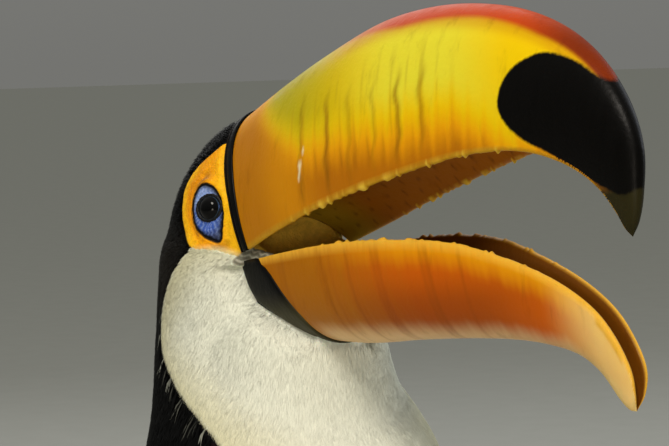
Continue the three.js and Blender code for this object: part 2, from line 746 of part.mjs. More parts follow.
for (const [name, side] of Object.entries(SIDES)) {
  const thigh = solid(
    loft(
      THIGH.map(([x, y, z, halfDepth, halfWidth]) =>
        oval(vec(x, side * y, z), vec(1, 0, 0), vec(0, 1, 0), halfDepth, halfWidth, 16),
      ),
    ),
  ).subtract(grownBody);
  place(`thigh_${name}`, thigh, MATERIAL.blackFeather);

  const heel = vec(HEEL.x, side * HEEL.y, HEEL.z);
  const ball = vec(FOOT.x, side * FOOT.y, FOOT.z);
  const shin = new THREE.CatmullRomCurve3([
    heel,
    heel.clone().lerp(ball, 0.5).add(vec(-1.5, 0, 0)),
    ball,
  ]);
  const pieces = [solid(loft(taper(shin, TARSUS_RADIUS, TARSUS_RADIUS + 0.6)))];
  pieces.push(
    solid(new THREE.SphereGeometry(7.2, 10, 6).scale(1.1, 1, 0.8).translate(ball.x, ball.y, 5.2)),
  );
  for (const toe of TOES) {
    const way = vec(Math.cos(toe.turn), side * Math.sin(toe.turn), 0);
    const along = (distance, height) => ball.clone().addScaledVector(way, distance).setZ(height);
    const bones = new THREE.CatmullRomCurve3([
      along(0, toe.root - TOE_FLAT + 1),
      along(toe.length * 0.45, toe.root - TOE_FLAT),
      along(toe.length + 1, toe.end - TOE_FLAT),
    ]);
    const toeEnd = along(toe.length, 0);
    pieces.push(solid(loft(taper(bones, toe.root, toe.end, 4))).intersect(behind(toeEnd, way)));
    const tip = toe.length - 0.5;
    const hook = new THREE.CatmullRomCurve3([
      along(tip, toe.end - TOE_FLAT + 0.4),
      along(tip + toe.claw * 0.5, toe.end + 0.4),
      along(tip + toe.claw, 0.9),
    ]);
    const claw = solid(loft(taper(hook, toe.end * 0.72, 0.4, 5)));
    const clawOnly = claw.subtract(behind(toeEnd, way, -GAP));
    place(`claw_${toe.name}_${name}`, clawOnly, MATERIAL.claw);
  }
  place(`foot_${name}`, join(pieces).subtract(floor).intersect(belowThigh), MATERIAL.leg);
}

// ---------------------------------------------------------------- wings

// A point on the body's surface, raised by `height`; angle from the back's midline.
function onBody(s, angle, side, height) {
  const { middle, back, halfDepth, halfWidth } = bodyFrame(s);
  return middle
    .clone()
    .addScaledVector(back, (halfDepth + height) * Math.cos(angle))
    .add(vec(0, side * (halfWidth + height) * Math.sin(angle), 0));
}

// The vane of a wing's tier that lies `part` of the way from its upper to its lower edge.
function wingVane({ outline, halfWidth, upper, lower }, part, side, vary) {
  const [root, tip] = [0, 1].map((end) =>
    upper[end].map((value, column) => lerp(value, lower[end][column], part)),
  );
  tip[0] += (tip[0] - root[0]) * VARY.length * vary();
  const at = (t, y, lift) => {
    const [s, angle, rise] = root.map((value, column) => lerp(value, tip[column], t));
    const { halfDepth, halfWidth: bodyHalf } = bodyFrame(s);
    const height = rise + y * SHINGLE + lift;
    const around = y / ((halfDepth + bodyHalf) / 2 + height);
    return onBody(s, degToRad(angle) + around, side, height);
  };
  return vane(outline, at, halfWidth * (1 + VARY.width * vary()));
}

const wingAt = track(WING);
const covertRoom = [
  [0, tailMiddle, halfThick + UPPER_COVERTS.thick, UPPER_COVERTS.halfWidth],
  [UPPER_COVERTS.length * 0.5, tailMiddle, halfThick + UPPER_COVERTS.thick * 0.75, UPPER_COVERTS.halfWidth],
  [UPPER_COVERTS.length, tailMiddle, halfThick + 4, UPPER_COVERTS.halfWidth],
];
const grownCoverts = tailForm(covertRoom, GAP);

for (const [name, side] of Object.entries(SIDES)) {
  const steps = 11;
  const across = 7;
  const rings = Array.from({ length: steps + 1 }, (_, k) => {
    const [s, upper, lower, height] = wingAt(((WING.length - 1) * k) / steps);
    const angleAt = (i) => degToRad(lerp(upper, lower, i / across));
    const crown = (i) => Math.sqrt(Math.max(0, 1 - (2 * (i / across) - 1) ** 4));
    const outer = Array.from({ length: across + 1 }, (_, i) =>
      onBody(s, angleAt(i), side, lerp(-WING_BED, height, 0.5 + 0.5 * crown(i))),
    );
    const inner = Array.from({ length: across + 1 }, (_, i) =>
      onBody(s, angleAt(across - i), side, -WING_BED),
    );
    return [...outer, ...inner];
  });
  const pieces = [solid(loft(rings))];
  const vary = seeded(SEED);
  for (const tier of WING_TIERS) {
    for (let k = 0; k < tier.count; k++)
      pieces.push(wingVane(tier, k / (tier.count - 1), side, vary));
  }
  const wing = join(pieces).subtract(grownBody).subtract(grownCoverts).subtract(tailRoom);
  place(`wing_${name}`, wing, MATERIAL.blackFeather);
}

// ---------------------------------------------------------------- tongue

const tongueRings = [TONGUE.from, 30, 60, 95, TONGUE.to].map((x, row) => {
  const width = TONGUE.halfWidth * [1, 1, 0.8, 0.55, 0.2][row];
  return oval(vec(x, 0, TONGUE.rise), vec(0, 0, 1), vec(0, 1, 0), TONGUE.thickness / 2, width, 8);
});
const tongue = solid(loft(tongueRings), JAW_MATRIX).subtract(headSolid(GAP)).subtract(grownBody);
place('tongue', tongue, MATERIAL.tongue, jawFrame);

// ---------------------------------------------------------------- the whole

const bounds = new THREE.Box3().setFromObject(bird, true);
bird.position.x = -(bounds.min.x + bounds.max.x) / 2;
const group = new THREE.Group();
group.add(bird);

export default group;
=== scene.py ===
"""A toco toucan, life size and still: skin, plumage, bill, eyes and feet over the solids."""

import logging
import math
from collections.abc import Callable
from dataclasses import dataclass, field
from enum import Enum

import bmesh
import bpy
import numpy as np
from bpy.types import Material, Mesh, NodeSocket, NodeTree, Object
from mathutils import Matrix, Vector, noise
from mathutils.bvhtree import BVHTree

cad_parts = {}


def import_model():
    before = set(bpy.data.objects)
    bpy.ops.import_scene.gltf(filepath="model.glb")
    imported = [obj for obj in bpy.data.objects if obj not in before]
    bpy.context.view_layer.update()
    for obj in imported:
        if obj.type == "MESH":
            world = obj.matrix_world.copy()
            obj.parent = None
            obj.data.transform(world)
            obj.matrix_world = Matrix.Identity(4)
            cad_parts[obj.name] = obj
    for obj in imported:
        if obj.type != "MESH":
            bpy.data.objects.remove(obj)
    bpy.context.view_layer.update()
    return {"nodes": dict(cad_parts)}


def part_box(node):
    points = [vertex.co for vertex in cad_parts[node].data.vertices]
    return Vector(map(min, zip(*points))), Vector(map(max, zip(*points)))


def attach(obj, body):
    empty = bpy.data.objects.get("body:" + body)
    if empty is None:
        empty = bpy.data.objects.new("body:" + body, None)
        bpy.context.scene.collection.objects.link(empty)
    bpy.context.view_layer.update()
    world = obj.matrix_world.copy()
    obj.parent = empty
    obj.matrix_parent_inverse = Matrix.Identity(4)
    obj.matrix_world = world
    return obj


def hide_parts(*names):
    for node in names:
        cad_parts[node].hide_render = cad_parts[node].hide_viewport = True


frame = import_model()
LOG = logging.getLogger("toucan")
Array = np.ndarray

MM = 0.001  # sizes are in millimetres until a mesh is made
BODY = "root"
SIDES = {"left": 1, "right": -1}
IMAGE = (669, 446)

# Posture, as the solids have it
GAPE_HEIGHT = 300.0
HEAD_PITCH = math.radians(17.5)
JAW_OPENING = math.radians(14)
JAW_PIVOT = np.array([-27.0, 0.0, -4.0])
EYE_X, EYE_Z, EYE_OUT, EYE_RADIUS = -15.0, 17.5, 21.0, 6.3
EYE_TURN = math.radians(28)  # the lids' opening, forwards from straight out
TAIL_ROOT = np.array([-118.0, 0.0, 88.0])
TAIL_DROP = math.radians(30)


# ---- frames and numbers


class Axes(Enum):
    """The frames that the bird's sizes are given in."""

    BIRD = "bird"
    HEAD = "head"
    JAW = "jaw"
    TAIL = "tail"


def nose_up(points: Array, angle: float) -> Array:
    """Points turned about the crosswise axis, nose up by an angle in radians."""
    x, y, z = points[..., 0], points[..., 1], points[..., 2]
    c, s = math.cos(angle), math.sin(angle)
    return np.stack([x * c - z * s, y, x * s + z * c], axis=-1)


def to_bird(points: Array, axes: Axes) -> Array:
    """Points of any of the bird's frames, brought into the bird's own.

    Args:
        points: Places in millimetres, one row each.
        axes: The frame that they are given in.

    Returns:
        The same places in the bird's frame.
    """
    if axes is Axes.JAW:
        points = nose_up(points - JAW_PIVOT, -JAW_OPENING) + JAW_PIVOT
    if axes in (Axes.JAW, Axes.HEAD):
        return nose_up(points, HEAD_PITCH) + np.array([0, 0, GAPE_HEIGHT])
    if axes is Axes.TAIL:
        turned = points * np.array([-1.0, -1.0, 1.0])
        return nose_up(turned, TAIL_DROP) + TAIL_ROOT
    return points


def to_head(points: Array) -> Array:
    """Places in the bird's frame, brought into the head's."""
    return nose_up(points - np.array([0, 0, GAPE_HEIGHT]), -HEAD_PITCH)


def eye_shift() -> float:
    """How far the bird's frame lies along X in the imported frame, read from the left eye's box."""
    low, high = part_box("eye_left")
    centre = to_bird(np.array([EYE_X, EYE_OUT, EYE_Z]), Axes.HEAD)
    return (low.x + high.x) / 2 / MM - centre[0]


SHIFT = np.array([eye_shift(), 0.0, 0.0])


def world(points: Array, axes: Axes = Axes.BIRD) -> Array:
    """Places in millimetres in one of the bird's frames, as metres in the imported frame."""
    return (to_bird(points, axes) + SHIFT) * MM


def unworld(points: Array) -> Array:
    """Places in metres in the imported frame, as millimetres in the bird's frame."""
    return points / MM - SHIFT


def ease(low: float, high: float, value: Array) -> Array:
    """A smooth step from 0 at `low` to 1 at `high`."""
    part = np.clip((value - low) / (high - low), 0, 1)
    return part * part * (3 - 2 * part)


def unit(vectors: Array) -> Array:
    """Vectors brought to length one."""
    return vectors / np.maximum(np.linalg.norm(vectors, axis=-1, keepdims=True), 1e-9)


def xyz(x: Array, y: Array, z: Array) -> Array:
    """Three columns as one array of places."""
    return np.stack(np.broadcast_arrays(x, y, z), axis=-1).astype(float)


class Track:
    """Smooth values between the rows of a table, by the cubic that the solids use."""

    def __init__(self, rows: tuple[tuple[float, ...], ...]) -> None:
        """Keeps the rows, and a fine table of them for looking places up."""
        self.rows = np.array(rows, float)
        self.last = len(rows) - 1
        self.fine = np.linspace(0, self.last, 40 * self.last + 1)
        self.table = self.at(self.fine)

    def at(self, t: Array) -> Array:
        """The values at t, which counts rows."""
        t = np.clip(np.asarray(t, float), 0, self.last)
        i = np.minimum(t.astype(int), self.last - 1)
        p = (t - i)[..., None]
        before, after = np.where(i > 0, i - 1, i + 1), np.where(i < self.last - 1, i + 2, i)
        wp = np.where(i > 0, 0.5, -0.5)[..., None]
        wn = np.where(i < self.last - 1, 0.5, -0.5)[..., None]
        pp, ppp = p * p, p * p * p
        return (
            self.rows[before] * (-wp * ppp + 2 * wp * pp - wp * p)
            + self.rows[i] * ((1 + wp) * ppp + (-1.5 - 2 * wp) * pp + (-0.5 + wp) * p + 1)
            + self.rows[i + 1] * ((-1 - wn) * ppp + (1.5 + wn) * pp + 0.5 * p)
            + self.rows[after] * (wn * ppp - wn * pp)
        )

    def reach(self, column: int, value: Array) -> Array:
        """The t at which a column that runs one way reaches a value."""
        found, t = self.table[:, column], self.fine
        if found[0] > found[-1]:
            found, t = found[::-1], t[::-1]
        return np.interp(value, found, t)


class Outline:
    """A closed smooth outline in a side view, through a few points."""

    margin = 8.0
    pitch = 0.5

    def __init__(self, points: tuple[tuple[float, float], ...]) -> None:
        """Rounds the outline through its points, and measures a grid of depths round it."""
        p = np.array(points, float)
        t = np.linspace(0, 1, 8, endpoint=False)[:, None]
        runs = []
        for k in range(len(p)):
            a, b, c, d = (p[(k + n) % len(p)] for n in (-1, 0, 1, 2))
            bend = 2 * a - 5 * b + 4 * c - d
            runs.append(b + 0.5 * t * (c - a + t * (bend + t * (3 * (b - c) + d - a))))
        self.points = np.concatenate(runs)
        self.low = self.points.min(0) - self.margin
        self.size = ((self.points.max(0) + self.margin - self.low) / self.pitch).astype(int) + 2
        steps = [self.low[k] + self.pitch * np.arange(self.size[k]) for k in (0, 1)]
        x, z = np.meshgrid(*steps, indexing="ij")
        self.grid = self.measured(x.ravel(), z.ravel()).reshape(self.size)

    def depth(self, x: Array, z: Array) -> Array:
        """How far inside the outline places lie, negative outside it, read from the grid."""
        place = (np.stack([x, z], axis=-1) - self.low) / self.pitch
        held = place.clip(0, self.size - 1.001)
        i, j = held.astype(int).T
        p, q = (held % 1).T
        near = self.grid[i, j] * (1 - p) + self.grid[i + 1, j] * p
        far = self.grid[i, j + 1] * (1 - p) + self.grid[i + 1, j + 1] * p
        beyond = np.linalg.norm(place - held, axis=-1) * self.pitch
        return near * (1 - q) + far * q - beyond

    def measured(self, x: Array, z: Array) -> Array:
        """The same depth, measured from the outline itself."""
        p = np.stack([x, z], axis=-1)[:, None]
        a, b = self.points[None], np.roll(self.points, -1, axis=0)[None]
        part = np.clip(((p - a) * (b - a)).sum(-1) / ((b - a) ** 2).sum(-1), 0, 1)
        away = np.sqrt((((a + part[..., None] * (b - a)) - p) ** 2).sum(-1).min(1))
        above = (a[..., 1] > p[..., 1]) != (b[..., 1] > p[..., 1])
        rise = np.where(b[..., 1] == a[..., 1], 1e-9, b[..., 1] - a[..., 1])
        crossing = a[..., 0] + (b[..., 0] - a[..., 0]) * (p[..., 1] - a[..., 1]) / rise
        inside = (above & (p[..., 0] < crossing)).sum(1) % 2 == 1
        return np.where(inside, away, -away)


def linear(code: str) -> Array:
    """An sRGB hex colour as linear red, green and blue."""
    value = np.array([int(code[k : k + 2], 16) for k in (1, 3, 5)]) / 255
    return np.where(value <= 0.04045, value / 12.92, ((value + 0.055) / 1.055) ** 2.4)


def tint(base: Array, code: str, share: Array) -> Array:
    """Colours mixed with a hex colour by a share at each place."""
    return base + (linear(code) - base) * np.asarray(share)[..., None]


def plain(code: str, places: Array) -> Array:
    """One hex colour at every place."""
    return np.broadcast_to(linear(code), places.shape)


def read(table: tuple | Array, value: Array) -> Array:
    """A table's second column, read off at values of its first, which rises."""
    return np.interp(value, *np.array(table).T)


def drawn(maker: type, *rows: tuple[float, ...]) -> object:
    """A field that holds a track or an outline through its rows."""
    return field(default_factory=lambda: maker(rows))


# ---- meshes


Marks = dict[str, Array]  # values by name, one for each place
Sheet = tuple[Array, Marks]
Lay = Callable[[Array, Array], Sheet]


def laid(name: str, across: int, along: int, lay: Lay, axes: Axes, wall: float = 0.0) -> Object:
    """A grid laid onto a surface, its seams merged, and its open ends filled or its sheet given a wall.

    Args:
        name: The object's name.
        across: Faces in the first direction.
        along: Faces in the second direction.
        lay: Gives the places, and the marks by name, at u and v from 0 to 1.
        axes: The frame that the places are given in.
        wall: The sheet's thickness in mm, inwards, where it stays open.

    Returns:
        The new object, linked, with its place in its mesh.
    """
    grid = bmesh.new()
    bmesh.ops.create_grid(grid, x_segments=across, y_segments=along, size=1)
    flat = np.array([vert.co[:2] for vert in grid.verts]) * 0.5 + 0.5
    places, marks = lay(flat[:, 0], flat[:, 1])
    for vert, place in zip(grid.verts, world(places, axes)):
        vert.co = place
    for mark, values in marks.items():
        coloured = values.ndim == 2
        layers = grid.verts.layers.float_color if coloured else grid.verts.layers.float
        layer = layers.new(mark)
        for vert, value in zip(grid.verts, values):
            vert[layer] = (*value, 1.0) if coloured else value
    bmesh.ops.remove_doubles(grid, verts=grid.verts, dist=0.00002)
    open_edges = [edge for edge in grid.edges if edge.is_boundary]
    if open_edges and not wall:
        bmesh.ops.holes_fill(grid, edges=open_edges, sides=0)
    bmesh.ops.recalc_face_normals(grid, faces=grid.faces)
    made = finished(name, grid)
    return modified(made, "SOLIDIFY", thickness=wall * MM, offset=-1) if wall else made


def finished(name: str, shape: bmesh.types.BMesh) -> Object:
    """A bmesh as a linked object with smooth faces."""
    mesh = bpy.data.meshes.new(name)
    shape.to_mesh(mesh)
    shape.free()
    mesh.polygons.foreach_set("use_smooth", np.ones(len(mesh.polygons), bool))
    made = bpy.data.objects.new(name, mesh)
    bpy.context.scene.collection.objects.link(made)
    return made


def from_arrays(
    name: str, places: Array, faces: Array, marks: Marks, bake: Array, ways: Array | None = None
) -> Object:
    """A mesh of many small closed shapes, all of faces with the same number of corners.

    Args:
        name: The object's name.
        places: Vertices, in metres.
        faces: Vertex numbers, one row a face.
        marks: Values by name, one for each vertex.
        bake: A place from 0 to 1 on the skin's unwrap for each vertex.
        ways: The way that each vertex is shaded to face, where it isn't left to its faces.

    Returns:
        The new object, linked.
    """
    count, sides = faces.shape
    mesh = bpy.data.meshes.new(name)
    mesh.vertices.add(len(places))
    mesh.vertices.foreach_set("co", places.astype(np.float32).ravel())
    mesh.loops.add(count * sides)
    mesh.loops.foreach_set("vertex_index", faces.astype(np.int32).ravel())
    mesh.polygons.add(count)
    mesh.polygons.foreach_set("loop_start", np.arange(0, count * sides, sides, dtype=np.int32))
    mesh.update(calc_edges=True)
    mesh.polygons.foreach_set("use_smooth", np.ones(count, bool))
    write_marks(mesh, marks)
    layer = mesh.uv_layers.new(name="OFBake")
    layer.data.foreach_set("uv", bake[faces.ravel()].astype(np.float32).ravel())
    if ways is not None:
        layer = mesh.attributes.new("custom_normal", "FLOAT_VECTOR", "POINT")
        layer.data.foreach_set("vector", ways.astype(np.float32).ravel())
    made = bpy.data.objects.new(name, mesh)
    bpy.context.scene.collection.objects.link(made)
    return made


def write_marks(mesh: Mesh, marks: Marks) -> None:
    """Stores values by name on a mesh's vertices, three columns as a colour."""
    for mark, values in marks.items():
        if values.ndim == 2:
            full = np.concatenate([values, np.ones((len(values), 1))], axis=1)
            layer = mesh.attributes.new(mark, "FLOAT_COLOR", "POINT")
            layer.data.foreach_set("color", full.astype(np.float32).ravel())
        else:
            layer = mesh.attributes.new(mark, "FLOAT", "POINT")
            layer.data.foreach_set("value", values.astype(np.float32))


def modified(made: Object, kind: str, **settings: object) -> Object:
    """An object with one modifier applied to its mesh."""
    modifier = made.modifiers.new(kind.lower(), kind)
    for key, value in settings.items():
        setattr(modifier, key, value)
    graph = bpy.context.evaluated_depsgraph_get()
    old = made.data
    made.data = bpy.data.meshes.new_from_object(made.evaluated_get(graph))
    made.modifiers.clear()
    bpy.data.meshes.remove(old)
    made.data.polygons.foreach_set("use_smooth", np.ones(len(made.data.polygons), bool))
    return made


def vertices(mesh: Mesh, what: str = "co") -> Array:
    """A mesh's vertex places, or its vertex normals."""
    source = mesh.vertex_normals if what == "normal" else mesh.vertices
    found = np.empty(len(mesh.vertices) * 3, np.float32)
    source.foreach_get("vector" if what == "normal" else "co", found)
    return found.reshape(-1, 3).astype(float)


def move_vertices(mesh: Mesh, places: Array) -> None:
    """Puts a mesh's vertices at new places, in metres."""
    mesh.vertices.foreach_set("co", places.astype(np.float32).ravel())
    mesh.update()


def relaxed(mesh: Mesh, share: Array, rounds: int) -> None:
    """Smooths a mesh, by a share at each vertex in each round."""
    pairs = np.empty(len(mesh.edges) * 2, np.int32)
    mesh.edges.foreach_get("vertices", pairs)
    a, b = pairs.reshape(-1, 2).T
    places = vertices(mesh)
    valence = np.bincount(pairs, minlength=len(places)).clip(1)[:, None]
    for _ in range(rounds):
        total = np.stack(
            [
                np.bincount(a, places[b, k], len(places)) + np.bincount(b, places[a, k], len(places))
                for k in range(3)
            ],
            axis=1,
        )
        places = places + (total / valence - places) * share[:, None]
    move_vertices(mesh, places)


def joined(name: str, parts: list[Object]) -> Object:
    """One object of several, which are removed."""
    whole = bmesh.new()
    for part in parts:
        whole.from_mesh(part.data)
        bpy.data.meshes.remove(part.data)
    return finished(name, whole)


def dress(made: Object, material: Material, slot: str, replaces: tuple[str, ...] = ()) -> Object:
    """Gives a piece its finish, its body and the solids that it stands for.

    Args:
        made: The piece.
        material: Its finish.
        slot: The record's material slot; not used.
        replaces: Names of the solids that it replaces.

    Returns:
        The piece.
    """
    made.data.materials.clear()
    made.data.materials.append(material)
    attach(made, BODY)
    if replaces:
        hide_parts(*replaces)
    LOG.info("%s: %d faces", made.name, len(made.data.polygons))
    return made


# ---- materials


Sockets = dict[str | int, object]


def add(tree: NodeTree, kind: str, inputs: Sockets | None = None, **settings: object):
    """Adds one node, with its settings and what its sockets read.

    Args:
        tree: The material's node tree.
        kind: The node's type, without its ShaderNode prefix.
        inputs: Values or output sockets, by input name or number.
        settings: The node's own settings.

    Returns:
        The new node.
    """
    made = tree.nodes.new("ShaderNode" + kind)
    for key, value in settings.items():
        setattr(made, key, value)
    for key, value in (inputs or {}).items():
        socket = made.inputs[key]
        if isinstance(value, NodeSocket):
            tree.links.new(value, socket)
        else:
            socket.default_value = value
    return made


def rgba(code: str) -> tuple[float, ...]:
    """A hex colour as a socket's linear value."""
    return (*linear(code), 1.0)


def blank(name: str) -> tuple[Material, NodeTree]:
    """A material with an empty node tree."""
    material = bpy.data.materials.new(name)
    material.use_nodes = True
    material.node_tree.nodes.clear()
    return material, material.node_tree


def surface(tree: NodeTree, inputs: Sockets) -> None:
    """Ends a node tree with a Principled surface."""
    shader = add(tree, "BsdfPrincipled", inputs)
    add(tree, "OutputMaterial", {"Surface": shader.outputs[0]})


@dataclass(frozen=True)
class GrownHorn:
    """Bill keratin, grown in layers and rubbed smooth: satin, faintly waxy, streaked and chipped."""

    name: str = "bill_keratin_grown_and_worn"
    gloss: float = 0.08  # specular level: the worn surface is satin
    glow: float = 0.12
    streak: float = 5.0  # across the stains, mm
    grain: float = 1.4
    dark: str = "#050403"
    stain: str = "#7a4a08"

    def build(self) -> Material:
        """The material: colour from the piece's marks, crisp dark patches, stains and grain."""
        material, tree = blank(self.name)
        place = add(tree, "TexCoord").outputs["Object"]
        tone = add(tree, "Attribute", attribute_name="tone").outputs["Color"]
        dark = add(tree, "Attribute", attribute_name="dark").outputs["Fac"]
        long = add(tree, "Mapping", {"Vector": place, "Scale": (1, 1, 0.22)}).outputs[0]
        streaks = add(
            tree, "TexNoise",
            {"Vector": long, "Scale": 1 / (self.streak * MM), "Detail": 5, "Roughness": 0.6},
        ).outputs["Fac"]
        grain = add(
            tree, "TexNoise", {"Vector": place, "Scale": 1 / (self.grain * MM), "Detail": 4}
        ).outputs["Fac"]
        amount = add(
            tree, "MapRange", {0: streaks, 1: 0.54, 2: 0.8, 3: 0.0, 4: 0.26},
            interpolation_type="SMOOTHSTEP",
        ).outputs[0]
        stained = add(
            tree, "MixRGB", {0: amount, 1: tone, 2: rgba(self.stain)}, blend_type="MULTIPLY"
        ).outputs[0]
        wobble = add(tree, "Math", {0: grain, 1: 0.8, 2: -0.4}, operation="MULTIPLY_ADD").outputs[0]
        edge = add(tree, "Math", {0: dark, 1: wobble}, operation="ADD").outputs[0]
        patch = add(
            tree, "MapRange", {0: edge, 1: -0.55, 2: 0.55}, interpolation_type="SMOOTHSTEP"
        ).outputs[0]
        colour = add(tree, "MixRGB", {0: patch, 1: stained, 2: rgba(self.dark)}).outputs[0]
        rough = add(tree, "MapRange", {0: streaks, 1: 0.3, 2: 0.8, 3: 0.32, 4: 0.52}).outputs[0]
        bump = add(tree, "Bump", {"Strength": 0.25, "Distance": 0.0004, "Height": grain}).outputs[0]
        surface(
            tree,
            {
                "Base Color": colour, "Roughness": rough, "Normal": bump, "IOR": 1.54,
                "Specular IOR Level": self.gloss, "Subsurface Weight": self.glow,
                "Subsurface Radius": (1.0, 0.45, 0.15), "Subsurface Scale": 0.0015,
            },
        )
        return material


@dataclass(frozen=True)
class BareSkin:
    """Skin with the feathers' roots in it, bare round the eye: dry and wrinkled, in its own marks."""

    name: str = "bird_skin_dry_and_wrinkled"
    pore: float = 0.7
    fold: float = 2.2

    def build(self) -> Material:
        """The material: colour from the marks, mottled, with wrinkles and pores."""
        material, tree = blank(self.name)
        place = add(tree, "TexCoord").outputs["Object"]
        tone = add(tree, "Attribute", attribute_name="tone").outputs["Color"]
        pores = add(
            tree, "TexVoronoi", {"Vector": place, "Scale": 1 / (self.pore * MM)}
        ).outputs["Distance"]
        folds = add(
            tree, "TexNoise",
            {"Vector": place, "Scale": 1 / (self.fold * MM), "Detail": 6, "Distortion": 0.6},
        ).outputs["Fac"]
        shade = add(tree, "MapRange", {0: folds, 1: 0.3, 2: 0.7, 3: 0.84, 4: 1.12}).outputs[0]
        colour = add(tree, "VectorMath", {0: tone}, operation="SCALE")
        tree.links.new(shade, colour.inputs["Scale"])
        height = add(tree, "Math", {0: pores, 1: 0.5, 2: folds}, operation="MULTIPLY_ADD").outputs[0]
        bump = add(tree, "Bump", {"Strength": 0.7, "Distance": 0.0005, "Height": height}).outputs[0]
        surface(
            tree,
            {
                "Base Color": colour.outputs[0], "Roughness": 0.5, "Normal": bump, "IOR": 1.4,
                "Specular IOR Level": 0.2, "Subsurface Weight": 0.1,
                "Subsurface Radius": (1.0, 0.4, 0.2), "Subsurface Scale": 0.001,
            },
        )
        return material


@dataclass(frozen=True)
class Plumage:
    """Feather barbs, grown and preened: soft and matt, with painted shade at their roots and painted
    light towards their tips.
    """

    name: str
    # tip: painted shade darkens each barb's root and painted light pales its tip, by this share
    tip: float  # how much lighter the tip is than the root
    roughness: float
    sheen: float
    gloss: float = 0.2
    barb: float = 0.5  # between barbs, drawn coarser than real ones so that they show, mm

    def build(self) -> Material:
        """The material: colour from the marks, shaded along each barb, with a soft sheen."""
        material, tree = blank(self.name)
        tone = add(tree, "Attribute", attribute_name="tone").outputs["Color"]
        along = add(tree, "Attribute", attribute_name="along").outputs["Fac"]
        barbs = add(tree, "Attribute", attribute_name="barb").outputs["Fac"]
        # painted shade and light along each barb, vane and core: darker at the root, lighter at the tip
        shade = add(tree, "MapRange", {0: along, 3: 1.0 - self.tip, 4: 1.0 + self.tip}).outputs[0]
        colour = add(tree, "VectorMath", {0: tone}, operation="SCALE")
        tree.links.new(shade, colour.inputs["Scale"])
        turn = add(tree, "Math", {0: barbs, 1: 2 * math.pi / self.barb}, operation="MULTIPLY")
        wave = add(tree, "Math", {0: turn.outputs[0]}, operation="SINE").outputs[0]
        bump = add(tree, "Bump", {"Strength": 0.35, "Distance": 0.0002, "Height": wave}).outputs[0]
        surface(
            tree,
            {
                "Base Color": colour.outputs[0], "Roughness": self.roughness, "Normal": bump,
                "IOR": 1.5, "Specular IOR Level": self.gloss, "Sheen Weight": self.sheen,
                "Sheen Roughness": 0.4,
            },
        )
        return material


@dataclass(frozen=True)
class WetEye:
    """The eye under its tear film: a near-black dome with a deep brown iris and a hard gloss."""

    name: str = "eye_wet_dome"
    pupil: str = "#020202"
    iris: str = "#040303"
    # rim: a painted reflection, a thin bluish ring round the iris
    rim: str = "#2f4252"

    def build(self) -> Material:
        """The material: pupil, iris and a bluish ring, a painted reflection, by distance from the eye's
        axis.
        """
        material, tree = blank(self.name)
        away = add(tree, "Attribute", attribute_name="away").outputs["Fac"]
        rings = add(tree, "ValToRGB", {0: away})
        stops = rings.color_ramp.elements
        stops[0].position, stops[0].color = 0.2, rgba(self.pupil)
        stops[1].position, stops[1].color = 0.25, rgba(self.iris)
        # the bluish ring near the disc's edge is a painted reflection
        later = ((0.43, self.iris), (0.447, self.rim), (0.452, self.rim), (0.47, self.pupil))
        for place, code in later:
            stop = stops.new(place)
            stop.color = rgba(code)
        surface(
            tree,
            {
                "Base Color": rings.outputs[0], "Roughness": 0.05, "IOR": 1.36,
                "Specular IOR Level": 0.3,
            },
        )
        return material


@dataclass(frozen=True)
class PlainSkin:
    """Scaled or soft skin of one colour, dry, with a fine uneven grain."""

    name: str
    light: str
    dark: str
    grain: float
    roughness: float
    seam: str = "#20262c"  # between plates, where the piece marks them

    def build(self) -> Material:
        """The material: two tones mottled at the grain's size, with the same grain in relief."""
        material, tree = blank(self.name)
        place = add(tree, "TexCoord").outputs["Object"]
        grain = add(
            tree, "TexNoise",
            {"Vector": place, "Scale": 1 / (self.grain * MM), "Detail": 6, "Roughness": 0.65},
        ).outputs["Fac"]
        share = add(tree, "MapRange", {0: grain, 1: 0.35, 2: 0.65}).outputs[0]
        colour = add(tree, "MixRGB", {0: share, 1: rgba(self.dark), 2: rgba(self.light)}).outputs[0]
        seam = add(tree, "Attribute", attribute_name="seam").outputs["Fac"]
        colour = add(tree, "MixRGB", {0: seam, 1: colour, 2: rgba(self.seam)}).outputs[0]
        bump = add(tree, "Bump", {"Strength": 0.4, "Distance": 0.0003, "Height": grain}).outputs[0]
        inputs = {"Base Color": colour, "Roughness": self.roughness, "Normal": bump, "IOR": 1.5}
        surface(tree, {**inputs, "Specular IOR Level": 0.3})
        return material


# ---- markings


